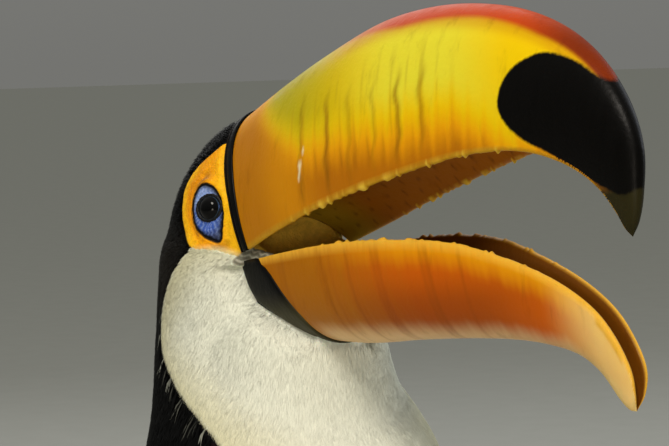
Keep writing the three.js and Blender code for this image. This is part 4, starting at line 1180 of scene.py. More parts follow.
@dataclass
class Form:
    """The bird's flesh as smooth tubes, and places on and along its body."""

    body: Track = drawn(
        Track,
        # x, z, half depth, half width, lean back in degrees
        (-33, 314, 22, 21, 0), (-32, 295, 34, 31, 0), (-29, 267, 39.5, 35, 2),
        (-9, 234, 50.5, 47.5, 8), (-10, 203, 57, 54.5, 16), (-22, 170, 60, 57, 28),
        (-47, 138, 52, 51, 42), (-74, 114, 39, 41, 52), (-98, 98, 26, 31, 57),
        (-118, 88, 18, 24, 60), (-150, 71, 13, 25, 61), (-190, 50, 9, 24, 62),
    )
    throat: Track = drawn(
        Track, (-14, 284, 30, 19), (-10, 272, 35.5, 28.5), (-11, 258, 39, 33),
        (-12.5, 244, 43.5, 38.5), (-12, 224, 49.5, 45.5), (-14, 204, 52, 48),
    )
    head: Track = drawn(
        Track,
        # x, top z, bottom z, half width
        (-2.5, 46.2, -12, 21.3), (-7, 47.6, -16, 22.5), (-15, 48.2, -20, 24.2),
        (-27, 45.6, -22, 26.6), (-38, 39.8, -22, 27.0), (-48, 30.5, -18, 24.5),
        (-55.5, 17.0, -10, 17.5),
    )
    thigh: Track = drawn(
        Track, (-30, 27, 122, 24, 19), (-37, 29, 96, 18, 15), (-43, 30.5, 76, 11, 10),
        (-44, 31, 62, 6.6, 6.2), (-42.4, 31, 57, 5.6, 5.2),
    )
    head_back: tuple = (-59.5, 4.0)
    torso_end: float = 9.0
    power: float = 2.2

    def round(self, turn: Array) -> tuple[Array, Array]:
        """Cosine and sine of a turn, squared off a little."""
        c, s = np.cos(turn), np.sin(turn)
        bend = 2 / self.power
        return np.sign(c) * np.abs(c) ** bend, np.sign(s) * np.abs(s) ** bend

    def section(self, s: Array) -> tuple[Array, Array, Array, Array, Array]:
        """A body section: its middle, the ways down and back, and its half sizes."""
        x, z, depth, width, lean = self.body.at(s).T
        lean = np.radians(lean)
        down = xyz(-np.sin(lean), 0, -np.cos(lean))
        back = xyz(-np.cos(lean), 0, np.sin(lean))
        return xyz(x, 0, z), down, back, depth, width

    def on_body(self, s: Array, angle: Array, side: float, height: Array) -> Array:
        """A place on the body's side, raised by a height; the angle is from the back's midline."""
        middle, _, back, depth, width = self.section(s)
        out = ((depth + height) * np.cos(angle))[..., None] * back
        return middle + out + xyz(0, side * (width + height) * np.sin(angle), 0)

    def lay_body(self, u: Array, v: Array) -> Sheet:
        """The body from the neck to the root of the tail."""
        middle, _, back, depth, width = self.section(self.torso_end * u)
        c, s = self.round(2 * np.pi * v)
        return middle + back * (depth * c)[:, None] + xyz(0, width * s, 0), {}

    def lay_throat(self, u: Array, v: Array) -> Sheet:
        """The throat, filled out between the chin and the breast."""
        x, z, depth, width = self.throat.at(u * self.throat.last).T
        c, s = self.round(2 * np.pi * v)
        return xyz(x + depth * c, width * s, z), {}

    def lay_head(self, u: Array, v: Array) -> Sheet:
        """The head from the bill's band to the back of the skull, rounded off there."""
        x, top, bottom, width = self.head.at(np.minimum(u / 0.85, 1) * self.head.last).T
        end = np.clip((u - 0.85) / 0.15, 0, 1)
        shrink = np.sqrt(1 - end**2)
        middle = (top + bottom) / 2 * (1 - end) + self.head_back[1] * end
        c, s = self.round(2 * np.pi * v)
        x = x + (self.head_back[0] - x) * end
        return xyz(x, width * s * shrink, middle + (top - bottom) / 2 * c * shrink), {}

    def lay_thigh(self, side: float) -> Lay:
        """One thigh, from inside the body to above the heel."""

        def lay(u: Array, v: Array) -> Sheet:
            x, y, z, depth, width = self.thigh.at(u * self.thigh.last).T
            c, s = self.round(2 * np.pi * v)
            return xyz(x + depth * c, side * y + width * s, z), {}

        return lay

    def along(self, bird: Array) -> Array:
        """The body's row nearest to each place."""
        s = np.linspace(0, self.torso_end, 181)
        middle, down, _, _, _ = self.section(s)
        off = np.abs(bird @ down.T - (middle * down).sum(-1)[None])
        near = np.linalg.norm(bird[:, None, ::2] - middle[None, :, ::2], axis=-1) < 75
        return s[np.argmin(np.where(near, off, 1e3), axis=1)]

    def lie(self, bird: Array) -> Array:
        """The way the coat lies: back over the head, then down the neck and along the body."""
        _, down, _, _, _ = self.section(self.along(bird))
        head = to_head(bird)
        low = ease(12, -16, head[:, 2])
        over = nose_up(xyz(-1, 0, -0.1 - 0.85 * low), HEAD_PITCH)
        on_head = ease(258, 300, bird[:, 2])[:, None]
        return unit(over * on_head + down * (1.05 - on_head))

    def unwrap(self, bird: Array) -> Array:
        """A place from 0 to 1 on an unwrap of the skin: round the spine, and along it."""
        s = self.along(bird)
        middle, _, back, _, _ = self.section(s)
        off = bird - middle
        around = np.arctan2(off[:, 1], (off * back).sum(-1)) / (2 * np.pi) + 0.5
        head = to_head(bird)
        on_head = bird[:, 2] > 296
        ahead = (head[:, 0] + 60) / 70
        turn = np.arctan2(head[:, 1], head[:, 2] - 10) / (2 * np.pi) + 0.5
        u = np.where(on_head, turn, around)
        v = np.where(on_head, 0.8 + 0.19 * ahead, 0.78 * (1 - s / self.torso_end) + 0.01)
        return np.stack([u, v], axis=-1).clip(0.002, 0.998)


def ellipsoid(centre: tuple, half: tuple, hollow: tuple | None = None) -> Lay:
    """A lay of an ellipsoid, hollowed from the front by another where one is given."""

    def lay(u: Array, v: Array) -> Sheet:
        turn, rise = 2 * np.pi * v, np.pi * u
        ball = xyz(np.cos(rise), np.sin(rise) * np.cos(turn), np.sin(rise) * np.sin(turn))
        places = ball * np.array(half) + np.array(centre)
        if hollow is not None:
            middle, size = np.array(hollow[0]), np.array(hollow[1])
            off = (places - middle) / size
            dent = middle[0] - size[0] * np.sqrt(np.clip(1 - off[:, 1] ** 2 - off[:, 2] ** 2, 0, 1))
            places[:, 0] = np.where((off**2).sum(-1) < 1, np.minimum(places[:, 0], dent), places[:, 0])
        return places, {}

    return lay


@dataclass
class Skin:
    """One skin over head, neck, body and thighs, with the folds of the face."""

    form: Form
    marks: Markings
    upper: UpperBill
    lower: LowerBill
    voxel: float = 1.35
    depth_cap: float = 1.0
    depth_bib: float = 0.6
    depth_body: float = 2.1
    orbit_half: tuple = (8.4, 5.4, 10.2)
    orbit_depth: float = 20.5
    orbit_slope: float = 0.46
    lid_above: float = 0.25  # the lids' rim above the skin
    throat: tuple = (16.5, -0.5, 10.0, 8.0)  # half width, middle, half height, depth
    # the mouth's lining: its middle and half sizes, and those of the hollow in it
    mouth: tuple = ((-4, 0, -4), (16.5, 19.2, 11), ((10, 0, -4), (21, 15.5, 15)))

    def flesh(self) -> Object:
        """The tubes of the flesh fused into one surface."""
        form = self.form
        parts = [
            laid("body", 260, 120, form.lay_body, Axes.BIRD),
            laid("throat", 60, 96, form.lay_throat, Axes.BIRD),
            laid("skull", 70, 96, form.lay_head, Axes.HEAD),
            laid("mouth", 48, 64, ellipsoid(*self.mouth), Axes.HEAD),
            laid("chin", 40, 64, ellipsoid((-11, 0, -13), (20, 18.2, 13)), Axes.JAW),
        ]
        for side in SIDES.values():
            cushion = ellipsoid((EYE_X, side * self.orbit_depth, EYE_Z), self.orbit_half)
            parts.append(laid("orbit", 40, 40, cushion, Axes.HEAD))
            corner = ellipsoid((1.5, side * 17.6, 2.6), (11.5, 1.9, 2.9))
            parts.append(laid("corner", 40, 30, corner, Axes.JAW))
            parts.append(laid("thigh", 60, 60, form.lay_thigh(side), Axes.BIRD))
        whole = joined("skin", parts)
        return modified(whole, "REMESH", mode="VOXEL", voxel_size=self.voxel * MM)

    def refine(self, made: Object) -> None:
        """Splits the faces round the eyes and the mouth's corners, where the folds are fine."""
        fine = bmesh.new()
        fine.from_mesh(made.data)
        fine.verts.ensure_lookup_table()
        bird = unworld(np.array([vert.co for vert in fine.verts]))
        near = (self.marks.bare(bird) > -2.5) & (np.abs(bird[:, 1]) > 12)
        edges = [e for e in fine.edges if near[e.verts[0].index] and near[e.verts[1].index]]
        bmesh.ops.subdivide_edges(fine, edges=edges, cuts=2, use_grid_fill=True)
        fine.to_mesh(made.data)
        fine.free()

    def socket(self, bird: Array) -> Array:
        """The skin turned forwards round each eye, and the throat opened behind the mouth."""
        head = to_head(bird)
        x, y, z = head.T
        ring = EYE_RADIUS * 0.72
        centre = EYE_X + ring * math.sin(EYE_TURN)
        level = EYE_OUT + ring * math.cos(EYE_TURN) - self.lid_above
        level = level - self.orbit_slope * (x - centre)
        orbit = self.marks.orbit_outline.depth(x, z)
        share = ease(-4.0, 0.8, orbit) * (np.abs(y) > 14)
        y = np.sign(y) * (np.abs(y) + (level - np.abs(y)) * share)
        off = (head[:, 1] / self.throat[0]) ** 2 + ((z - self.throat[1]) / self.throat[2]) ** 2
        deep = self.throat[3] * np.sqrt(np.clip(1 - off, 0, 1)) * (x > -14)
        return world(xyz(x - deep, y, z), Axes.HEAD)

    @staticmethod
    def pressed(y: Array, limit: Array, share: Array) -> Array:
        """Distances out to either side, brought in towards a limit by a share."""
        return np.sign(y) * (np.abs(y) - np.maximum(np.abs(y) - limit, 0) * share)

    def tucked(self, bird: Array) -> Array:
        """The skin drawn in under both bands and the base of the bill, in metres."""
        head = to_head(bird)
        x, y, z = head.T
        past = x - read(self.upper.band_rear, z)
        limit = self.upper.half_at(x, z) - 0.8
        share = ease(-1.6, 0.2, past) * ease(-0.5, 1.5, z) * (z < 52)
        y = self.pressed(y, limit, share)
        jaw = nose_up(xyz(x, y, z) - JAW_PIVOT, JAW_OPENING) + JAW_PIVOT
        x, y, z = jaw.T
        past = x - read(self.lower.band_rear, z)
        limit = self.lower.half_at(x, z) - 0.6
        share = ease(-8, 0.2, past) * ease(-1.6, 0.8, z - self.lower.keel_height(x))
        share = share * ease(0.6, -0.6, z)
        y = self.pressed(y, limit, share)
        return world(xyz(x, y, z), Axes.JAW)

    def wrinkles(self, bird: Array) -> Array:
        """The relief of the bare face, in mm outwards."""
        head = to_head(bird)
        x, z = head[:, 0], head[:, 2]
        orbit = self.marks.orbit_outline.depth(x, z)
        bare = self.marks.bare(bird)
        rough = np.array([noise.noise(Vector(p * 0.45)) for p in head])
        fine = np.array([noise.noise(Vector(p * 1.3)) for p in head])
        away = np.hypot(x + 13.3, (z - EYE_Z) * 0.85)
        rings = np.sin(2 * np.pi * away / 1.25 + 2.5 * rough)
        relief = 0.2 * rough + 0.1 * fine
        relief = relief + 0.14 * rings * ease(-0.5, 1.0, orbit)
        relief = relief - 0.35 * np.exp(-((orbit / 0.55) ** 2))
        relief = relief + 0.3 * np.exp(-(((orbit + 1.3) / 0.8) ** 2))
        return relief * ease(-1.0, 1.0, bare)

    def build(self, finish: Material) -> Object:
        """Makes the skin.

        Args:
            finish: The skin's material.

        Returns:
            The skin, from which the coat grows.
        """
        made = self.flesh()
        bird = unworld(vertices(made.data))
        calm = np.where((self.marks.bare(bird) > -6) & (np.abs(bird[:, 1]) < 30), 0.3, 0.5)
        relaxed(made.data, calm, 9)
        self.refine(made)
        move_vertices(made.data, self.socket(unworld(vertices(made.data))))
        bird = unworld(vertices(made.data))
        relaxed(made.data, np.where(self.marks.bare(bird) > -4, 0.4, 0.0), 3)
        bird = unworld(vertices(made.data))
        feathered = ease(0.6, -2.0, self.marks.bare(bird))
        on_head = ease(285, 300, bird[:, 2])
        coat = self.depth_body + (self.depth_bib - self.depth_body) * ease(-8, 2, self.marks.bib(bird))
        coat = (coat + (self.depth_cap - coat) * on_head) * ease(58, 90, bird[:, 2])
        out = self.wrinkles(bird) - coat * feathered
        moved = vertices(made.data) + vertices(made.data, "normal") * (out * MM)[:, None]
        move_vertices(made.data, moved)
        move_vertices(made.data, self.tucked(unworld(vertices(made.data))))
        write_marks(made.data, {"tone": self.marks.tones(unworld(vertices(made.data)))})
        made.data.polygons.foreach_set("use_smooth", np.ones(len(made.data.polygons), bool))
        dress(made, finish, "black_plumage", ("head", "neck", "torso", "thigh_left", "thigh_right"))
        return made


@dataclass
class Eyes:
    """The two eyeballs and the dark rims of their lids."""

    cornea: float = 0.35
    opening: float = 4.3
    long: float = 1.12  # the opening, along against across
    rim: float = 0.42
    sink: float = 0.15  # the ball's surface below its solid's

    @staticmethod
    def axes(side: float) -> tuple[Array, Array, Array, Array]:
        """The eye's middle, the way it looks, and the two ways across that."""
        c, s = math.cos(EYE_TURN), math.sin(EYE_TURN)
        middle = np.array([EYE_X, side * EYE_OUT, EYE_Z])
        out, ahead, up = np.array([[s, side * c, 0.0], [c, -side * s, 0.0], [0.0, 0.0, 1.0]])
        return middle, out, ahead, up

    def ball(self, side: float) -> Lay:
        """An eyeball, bulging a little at the cornea; marks how far each place is from its axis."""

        def lay(u: Array, v: Array) -> Sheet:
            middle, out, ahead, up = self.axes(side)
            away, turn = np.pi * u, 2 * np.pi * v
            radius = EYE_RADIUS - self.sink + self.cornea * ease(0.7, 0.3, away)
            flat = np.cos(turn)[:, None] * ahead + np.sin(turn)[:, None] * up
            way = np.cos(away)[:, None] * out + np.sin(away)[:, None] * flat
            return middle + way * radius[:, None], {"away": away / (np.pi / 2)}

        return lay

    def lid(self, side: float) -> Lay:
        """The lids' rim: a soft creased ring on the ball round its opening."""

        def lay(u: Array, v: Array) -> Sheet:
            middle, out, ahead, up = self.axes(side)
            turn, ring = 2 * np.pi * u, 2 * np.pi * v
            radius = self.rim * (1 + 0.1 * np.sin(13 * turn) + 0.08 * np.sin(29 * turn + 1))
            away = self.opening + radius * np.cos(ring) * 1.3
            depth = math.sqrt((EYE_RADIUS - self.sink) ** 2 - self.opening**2)
            flat = (self.long * np.cos(turn))[:, None] * ahead + np.sin(turn)[:, None] * up
            lift = depth + radius * np.sin(ring)
            return middle + flat * away[:, None] + out * lift[:, None], {}

        return lay

    def build(self, wet: Material, lid: Material) -> None:
        """Makes both eyes."""
        for name, side in SIDES.items():
            eye = laid(f"eyeball_{name}", 64, 64, self.ball(side), Axes.HEAD)
            dress(eye, wet, "eye", (f"eye_{name}",))
            rim = laid(f"lid_rim_{name}", 96, 16, self.lid(side), Axes.HEAD)
            dress(rim, lid, "black_plumage")


# ---- coat


@dataclass(frozen=True)
class Growth:
    """How one colour of the coat grows: by height in the bird's frame, its barbs' number and sizes."""

    name: str
    slot: str
    # height, barbs in a square mm, length, width, how far the tips stand off the skin
    rows: tuple[tuple[float, float, float, float, float], ...]
    fan: float
    loose: float  # how unevenly the tips stand off
    pieces: int


@dataclass
class Coat:
    """The small feathers of head, neck, body and thighs: barbs in tufts, laid along the skin."""

    form: Form
    marks: Markings
    upper: UpperBill
    lower: LowerBill
    seed: int = 7
    tuft: int = 3  # barbs
    spread: float = 0.5
    patch: float = 0.003  # of the unwrap, for each tuft
    round: float = 0.6  # how far a barb's sides are shaded to face outwards
    black: Growth = Growth(
        "coat_black",
        "black_plumage",
        (
            (60, 3.0, 6, 0.6, 0.8), (100, 1.9, 9, 0.8, 1.1), (150, 1.55, 13, 1.0, 1.4),
            (230, 1.75, 11, 0.8, 1.2), (270, 3.2, 8, 0.5, 1.0), (300, 4.8, 5.2, 0.42, 0.9),
            (335, 5.4, 4.6, 0.32, 2.0),
        ),
        0.2,
        0.35,
        5,
    )
    white: Growth = Growth(
        "coat_bib", "white_bib",
        ((205, 5.4, 10, 0.4, 0.9), (250, 7.6, 9, 0.3, 0.75), (300, 9.2, 6, 0.25, 0.6)), 0.12, 0.3,
        4,
    )

    def share(self, bird: Array, way: Array, white: bool) -> Array:
        """Where one colour of the coat grows on skin that faces a way, as a share from 0 to 1."""
        head = to_head(bird)
        bare, bib = self.marks.bare(bird), self.marks.bib(bird)
        s = self.form.along(bird)
        middle, _, back, _, _ = self.form.section(s)
        off = bird - middle
        angle = np.degrees(np.abs(np.arctan2(off[:, 1], (off * back).sum(-1))))
        under_wing = (s > 4.0) & (angle > 48) & (angle < 98) & (bird[:, 2] > 118)
        in_mouth = (head[:, 0] > self.marks.mouth_front) & (head[:, 2] > -9)
        in_jaw = (head[:, 0] > -2) & (np.abs(head[:, 1]) < 16) & (head[:, 2] > -22)
        inwards = (way[:, 1] * np.sign(head[:, 1]) < 0.1) & (np.abs(head[:, 1]) < 19.5)
        in_cheek = inwards & (head[:, 0] > -18) & (head[:, 2] > -24) & (head[:, 2] < 14)
        side = bib > 0.3 if white else bib < -0.8
        covered = under_wing | in_mouth | in_jaw | in_cheek | self.under_bill(head)
        return (side & (bare < -0.35) & ~covered).astype(float)

    def under_bill(self, head: Array) -> Array:
        """Where the skin lies under the bands or inside the bill."""
        jaw = nose_up(head - JAW_PIVOT, JAW_OPENING) + JAW_PIVOT
        upper = head[:, 0] > read(self.upper.band_rear, head[:, 2]) - 0.4
        lower = jaw[:, 0] > read(self.lower.band_rear, jaw[:, 2]) - 0.2
        in_jaw = lower & (jaw[:, 2] > self.lower.keel_height(jaw[:, 0]) + 0.3) & (jaw[:, 2] < 2)
        return (upper & (head[:, 2] > 0) & (head[:, 2] < 46)) | in_jaw

    def roots(self, growth: Growth, skin: Mesh) -> tuple[Array, Array]:
        """Where the tufts of one colour grow, spread over the skin, from the lowest up.

        Args:
            growth: The colour's growth.
            skin: The skin's mesh.

        Returns:
            Places in metres and the skin's directions there.
        """
        random = np.random.default_rng(self.seed)
        skin.calc_loop_triangles()
        corners = np.empty(len(skin.loop_triangles) * 3, np.int32)
        skin.loop_triangles.foreach_get("vertices", corners)
        corners = corners.reshape(-1, 3)
        places, normals = vertices(skin), vertices(skin, "normal")
        a, b, c = (places[corners[:, k]] for k in range(3))
        facing = np.cross(b - a, c - a)
        area = np.linalg.norm(facing, axis=1) / 2 / MM**2
        centres = unworld((a + b + c) / 3)
        heights, density = np.array(growth.rows)[:, :2].T
        weight = area * self.share(centres, unit(facing), growth is self.white)
        weight = weight * np.interp(centres[:, 2], heights, density)
        count = int(weight.sum() / self.tuft)
        chosen = random.choice(len(corners), count, p=weight / weight.sum())
        part = random.dirichlet((1, 1, 1), count)[..., None]
        found = (places[corners[chosen]] * part).sum(1)
        order = np.argsort(found[:, 2])
        return found[order], unit((normals[corners[chosen]] * part).sum(1))[order]

    def barbs(self, name: str, growth: Growth, roots: Array, up: Array, tree: BVHTree) -> Object:
        """Grows tufts of closed, bent barbs from their roots.

        Args:
            name: The piece's name.
            growth: The colour's growth.
            roots: Places on the skin, in metres.
            up: The skin's directions there.
            tree: The skin, for laying the barbs along it.

        Returns:
            The coat piece.
        """
        random = np.random.default_rng(self.seed + len(roots))
        roots, up = np.repeat(roots, self.tuft, 0), np.repeat(up, self.tuft, 0)
        bird = unworld(roots)
        count = len(roots)
        heights, _, lengths, widths, rises = np.array(growth.rows).T
        length = np.interp(bird[:, 2], heights, lengths) * random.uniform(0.75, 1.2, count) * MM
        half = np.interp(bird[:, 2], heights, widths) * random.uniform(0.35, 0.6, count) * MM
        rise = np.interp(bird[:, 2], heights, rises)
        near = self.marks.bare(bird)
        length = length * (0.45 + 0.55 * ease(0, -7, near))
        way = self.form.lie(bird)
        way = unit(way - up * (way * up).sum(-1, keepdims=True))
        side = np.cross(up, way)
        lean = random.normal(0, growth.fan, count)[:, None]
        way, side = unit(way + side * lean), unit(side - way * lean)
        start = roots + side * (random.normal(0, self.spread, count) * MM)[:, None]
        kept, sign = np.ones(count), 1 if growth is self.white else -1
        begin = unworld(start)
        for share in (0.85, 0.65, 0.45, 0.25, 0.1, 0.0):
            reach = begin + way * (length / MM * share)[:, None]
            kept = np.where(sign * self.marks.bib(reach) < -0.5, max(share, 0.1), kept)
        length = length * kept
        step = way * (length * 0.5)[:, None]
        uneven = 1 + growth.loose * random.uniform(-1, 1, (2, count))
        middle, crest_up = self.rest(tree, start + step, 0.75 * rise * uneven[0])
        tip, tip_up = self.rest(tree, middle + step, rise * uneven[1])
        crest = middle + crest_up * (half * 0.35)[:, None]
        wide = side * half[:, None]
        shape = np.stack([start - up * 0.4 * MM, middle - wide, middle + wide, crest, tip], axis=1)
        faces = np.array([[0, 2, 1], [0, 3, 2], [0, 1, 3], [4, 1, 2], [4, 2, 3], [4, 3, 1]])
        numbers = (np.arange(count) * 5)[:, None, None] + faces[None]
        home = np.repeat(self.form.unwrap(bird[:: self.tuft]), self.tuft, 0)
        spots = np.array([[-0.5, 0], [0, -0.4], [0, 0.4], [0.1, 0], [0.5, 0]]) * self.patch
        bake = (home[:, None] + spots[None]).clip(0.0005, 0.9995).reshape(-1, 2)
        tone = self.marks.feathers(bird) * (1 - growth.loose * 0.4 * random.random(count))[:, None]
        marks = {
            "tone": np.repeat(tone, 5, 0), "along": np.tile([0.0, 0.5, 0.5, 0.5, 1.0], count),
            "barb": np.zeros(count * 5),
        }
        bent = side * self.round
        ways = [up, crest_up - bent, crest_up + bent, crest_up, tip_up + way * 0.25]
        ways = np.stack(ways, axis=1)
        ways = unit(ways.reshape(-1, 3))
        return from_arrays(name, shape.reshape(-1, 3), numbers.reshape(-1, 3), marks, bake, ways)

    @staticmethod
    def rest(tree: BVHTree, places: Array, height: Array) -> tuple[Array, Array]:
        """Places laid back over the skin at a height, and the skin's direction there."""
        found = [tree.find_nearest(Vector(place)) for place in places]
        on = np.array([hit[0] for hit in found])
        up = np.array([hit[1] for hit in found])
        return on + up * (height * MM)[:, None], up

    def build(self, skin: Object, finishes: tuple[Material, ...]) -> None:
        """Makes both colours of the coat over the skin, each in a few pieces from the feet up."""
        shape = bmesh.new()
        shape.from_mesh(skin.data)
        tree = BVHTree.FromBMesh(shape)
        shape.free()
        for growth, soft in zip((self.black, self.white), finishes):
            roots, up = self.roots(growth, skin.data)
            parts = zip(np.array_split(roots, growth.pieces), np.array_split(up, growth.pieces))
            for number, (places, ways) in enumerate(parts, 1):
                name = f"{growth.name}_{number}"
                dress(self.barbs(name, growth, places, ways, tree), soft, growth.slot)


# ---- wings and tail


@dataclass(frozen=True)
class VaneShape:
    """A feather's vane: its outline from root to tip, its thickness and how finely it is made."""

    stations: int
    columns: int
    outline: tuple[tuple[float, float], ...]
    thick: float = 0.4
    camber: float = 0.07  # of the half width

    def grid(self) -> tuple[Array, Array, Array]:
        """Along, across from -1 to 1, and the half width there, at each station and column."""
        t = np.linspace(0, 1, self.stations)
        t = 1 - (1 - t) ** 1.3
        across = np.linspace(-1, 1, self.columns)
        return t[:, None], across[None], read(self.outline, t)[:, None]


FLIGHT = VaneShape(
    26, 9, ((0, 0.4), (0.15, 0.7), (0.6, 1), (0.85, 0.95), (0.94, 0.75), (0.985, 0.42), (1, 0.08))
)
COVERT = VaneShape(14, 7, ((0, 0.6), (0.35, 1), (0.75, 1), (0.9, 0.84), (0.97, 0.5), (1, 0.12)))

At = Callable[[Array, Array, Array], Array]


def vanes(
    name: str, shape: VaneShape, rows: list[tuple[At, float]], tone: Array, home: Array, seed: int
) -> Object:
    """Many vanes as one mesh of closed shells.

    Args:
        name: The object's name.
        shape: The vane's shape.
        rows: For each vane, the place at (part along, mm across, mm lifted), and its half width.
        tone: Their colour.
        home: For each vane its place on the skin's unwrap.
        seed: For what varies.

    Returns:
        The new object.
    """
    random = np.random.default_rng(seed)
    t, across, width = shape.grid()
    m, n = shape.stations, shape.columns
    places, along, barb, bake = [], [], [], []
    for (at, half), spot in zip(rows, home):
        nick = 1 - 0.07 * random.random((m, 1)) * (np.abs(across) > 0.9)
        y = across * width * half * nick
        shaft = 0.35 * np.exp(-((y / 0.7) ** 2)) * (1 - t)
        camber = -shape.camber * half * across**2
        lift = shaft + camber + random.normal(0, 0.05, (m, n))
        for way in (1, -1):
            thick = way * shape.thick / 2 * (1 - 0.6 * np.abs(across))
            flat_t = np.broadcast_to(t, (m, n)).ravel()
            places.append(at(flat_t, y.ravel(), (lift + thick).ravel()))
            along.append(flat_t)
            barb.append((y * np.sign(y) * 0.9 - t * 60 * half / 10).ravel())
            flat = np.stack([(across + 0 * t).ravel(), (t + 0 * across).ravel()], -1)
            bake.append(spot + flat * 0.0015)
    index = np.arange(m * n).reshape(m, n)
    top = np.stack([index[:-1, :-1], index[1:, :-1], index[1:, 1:], index[:-1, 1:]], -1).reshape(-1, 4)
    rim = np.concatenate([index[0, :], index[1:, -1], index[-1, -2::-1], index[-2:0:-1, 0]])
    after = np.roll(rim, -1)
    low = m * n
    wall = np.stack([rim, after, after + low, rim + low], -1)
    one = np.concatenate([top, top[:, ::-1] + low, wall])
    faces = (np.arange(len(rows)) * 2 * low)[:, None, None] + one[None]
    points = world(np.concatenate(places))
    shade = np.repeat(random.uniform(0.85, 1.15, len(rows)), 2 * low)[:, None]
    tones = np.broadcast_to(tone, points.shape) * shade
    marks = {"tone": tones, "along": np.concatenate(along), "barb": np.concatenate(barb)}
    unwrap = np.concatenate(bake).clip(0.0005, 0.9995)
    made = from_arrays(name, points, faces.reshape(-1, 4), marks, unwrap)
    shape_up = bmesh.new()
    shape_up.from_mesh(made.data)
    bmesh.ops.recalc_face_normals(shape_up, faces=shape_up.faces)
    shape_up.to_mesh(made.data)
    shape_up.free()
    return made


@dataclass(frozen=True)
class Tier:
    """A tier of a wing's vanes: its uppermost's and lowest's root and tip, as s, angle, height."""

    name: str
    shape: VaneShape
    count: int
    rows: int
    half_width: float
    upper: tuple[tuple[float, float, float], tuple[float, float, float]]
    lower: tuple[tuple[float, float, float], tuple[float, float, float]]
    step: float = 0.0  # between rows, along s


@dataclass
class Wing:
    """One folded wing: a covered front, small coverts, great coverts, secondaries and primaries."""

    form: Form
    shingle: float = math.tan(math.radians(8.5))
    core: Track = drawn(
        Track, (3.4, 62, 92, -1.2), (3.8, 48, 106, 1.6), (4.3, 34, 116, 5.6), (4.8, 24, 119, 7.6),
        (5.4, 20, 114, 8.0), (6.2, 16, 105, 5.5), (6.7, 15, 98, 2.2),
    )
    tiers: tuple = (
        Tier(
            "primaries", FLIGHT, 8, 1, 8.0,
            ((6.0, 44, 2.2), (10.35, 30, 6.0)), ((6.0, 102, 2.2), (8.7, 78, 3.0)),
        ),
        Tier(
            "secondaries", FLIGHT, 9, 1, 9.0,
            ((5.6, 23, 4.2), (8.8, 18, 9.6)), ((5.6, 98, 4.2), (9.2, 61, 5.0)),
        ),
        Tier(
            "coverts", COVERT, 10, 1, 8.0,
            ((5.0, 27, 5.6), (6.7, 21, 9.8)), ((5.0, 104, 5.6), (6.3, 97, 8.6)),
        ),
        Tier(
            "small_coverts", COVERT, 15, 8, 5.4,
            ((3.4, 58, 5.0), (3.95, 50, 6.6)), ((3.4, 100, 5.0), (3.95, 108, 6.4)), 0.27,
        ),
    )
    black: str = "#090909"
    core_black: str = "#070707"

    def at(self, root: Array, tip: Array, side: float) -> At:
        """A vane's place function along the body, each tilted over the next."""

        def place(t: Array, y: Array, lift: Array) -> Array:
            s, angle, rise = (root[k] + (tip[k] - root[k]) * t for k in range(3))
            _, _, _, depth, width = self.form.section(s)
            height = rise + y * self.shingle + lift
            around = y / ((depth + width) / 2 + height)
            return self.form.on_body(s, np.radians(angle) + around, side, height)

        return place

    def rows(self, tier: Tier, side: float, seed: int) -> tuple[list[tuple[At, float]], Array]:
        """Each vane of a tier with its half width, and its place on the unwrap."""
        random = np.random.default_rng(seed)
        made, home = [], []
        for row in range(tier.rows):
            for k in range(tier.count):
                shift = 0.5 * (tier.rows > 1)
                part = (k + shift * (row % 2)) / (tier.count - 1 + shift)
                root, tip = np.array(tier.upper) * (1 - part) + np.array(tier.lower) * part
                root[0] += row * tier.step
                tip[0] += row * tier.step
                if tier.rows > 1:
                    station = self.core.reach(0, np.clip(root[0] + 0.1, 3.4, 6.7))
                    _, upper, lower, height = self.core.at(np.array(station))
                    crown = math.sqrt(max(0.0, 1 - (2 * part - 1) ** 4))
                    root[1] = tip[1] = upper + (lower - upper) * part
                    tip[1] += 3 * (0.5 - part)
                    root[2], tip[2] = height * (0.3 + 0.7 * crown), height * (0.3 + 0.7 * crown) + 1.3
                tip[0] += random.normal(0, 0.03)
                wide = (0.62 + 0.38 * row / (tier.rows - 1)) if tier.rows > 1 else 1.0
                half = tier.half_width * wide * random.uniform(0.93, 1.07)
                made.append((self.at(root, tip, side), half))
                place = np.array([min(root[0], 8.8)]), np.radians([root[1]])
                centre = self.form.on_body(*place, side, np.array([0.0]))
                home.append(self.form.unwrap(centre)[0])
        return made, np.array(home)

    def lay_core(self, side: float) -> Lay:
        """The wing's covered front as one low cushion on the body."""

        def lay(u: Array, v: Array) -> Sheet:
            s, upper, lower, height = self.core.at(u * self.core.last).T
            part = np.clip(v * 1.25 - 0.125, 0, 1)
            sunk = np.minimum(v, 1 - v) < 0.1
            crown = np.sqrt(np.clip(1 - (2 * part - 1) ** 4, 0, 1))
            ends = ease(0, 0.06, u) * ease(1, 0.94, u)
            rise = np.where(sunk, -7.0, -2.0 + (height + 0.5) * crown) * ends - 7.0 * (1 - ends)
            places = self.form.on_body(s, np.radians(upper + (lower - upper) * part), side, rise)
            tone = plain(self.core_black, places)
            return places, {"tone": tone, "along": u, "barb": 0 * u}

        return lay

    def build(self, name: str, side: float, soft: Material) -> None:
        """Makes one wing.

        Args:
            name: Which side, in words.
            side: 1 for the left, -1 for the right.
            soft: The feathers' material.
        """
        core = laid(f"wing_core_{name}", 90, 60, self.lay_core(side), Axes.BIRD)
        dress(core, soft, "black_plumage", (f"wing_{name}",))
        for number, tier in enumerate(self.tiers):
            rows, home = self.rows(tier, side, 31 + number)
            tone, seed = linear(self.black), 53 + number
            made = vanes(f"wing_{tier.name}_{name}", tier.shape, rows, tone, home, seed)
            dress(made, soft, "black_plumage")


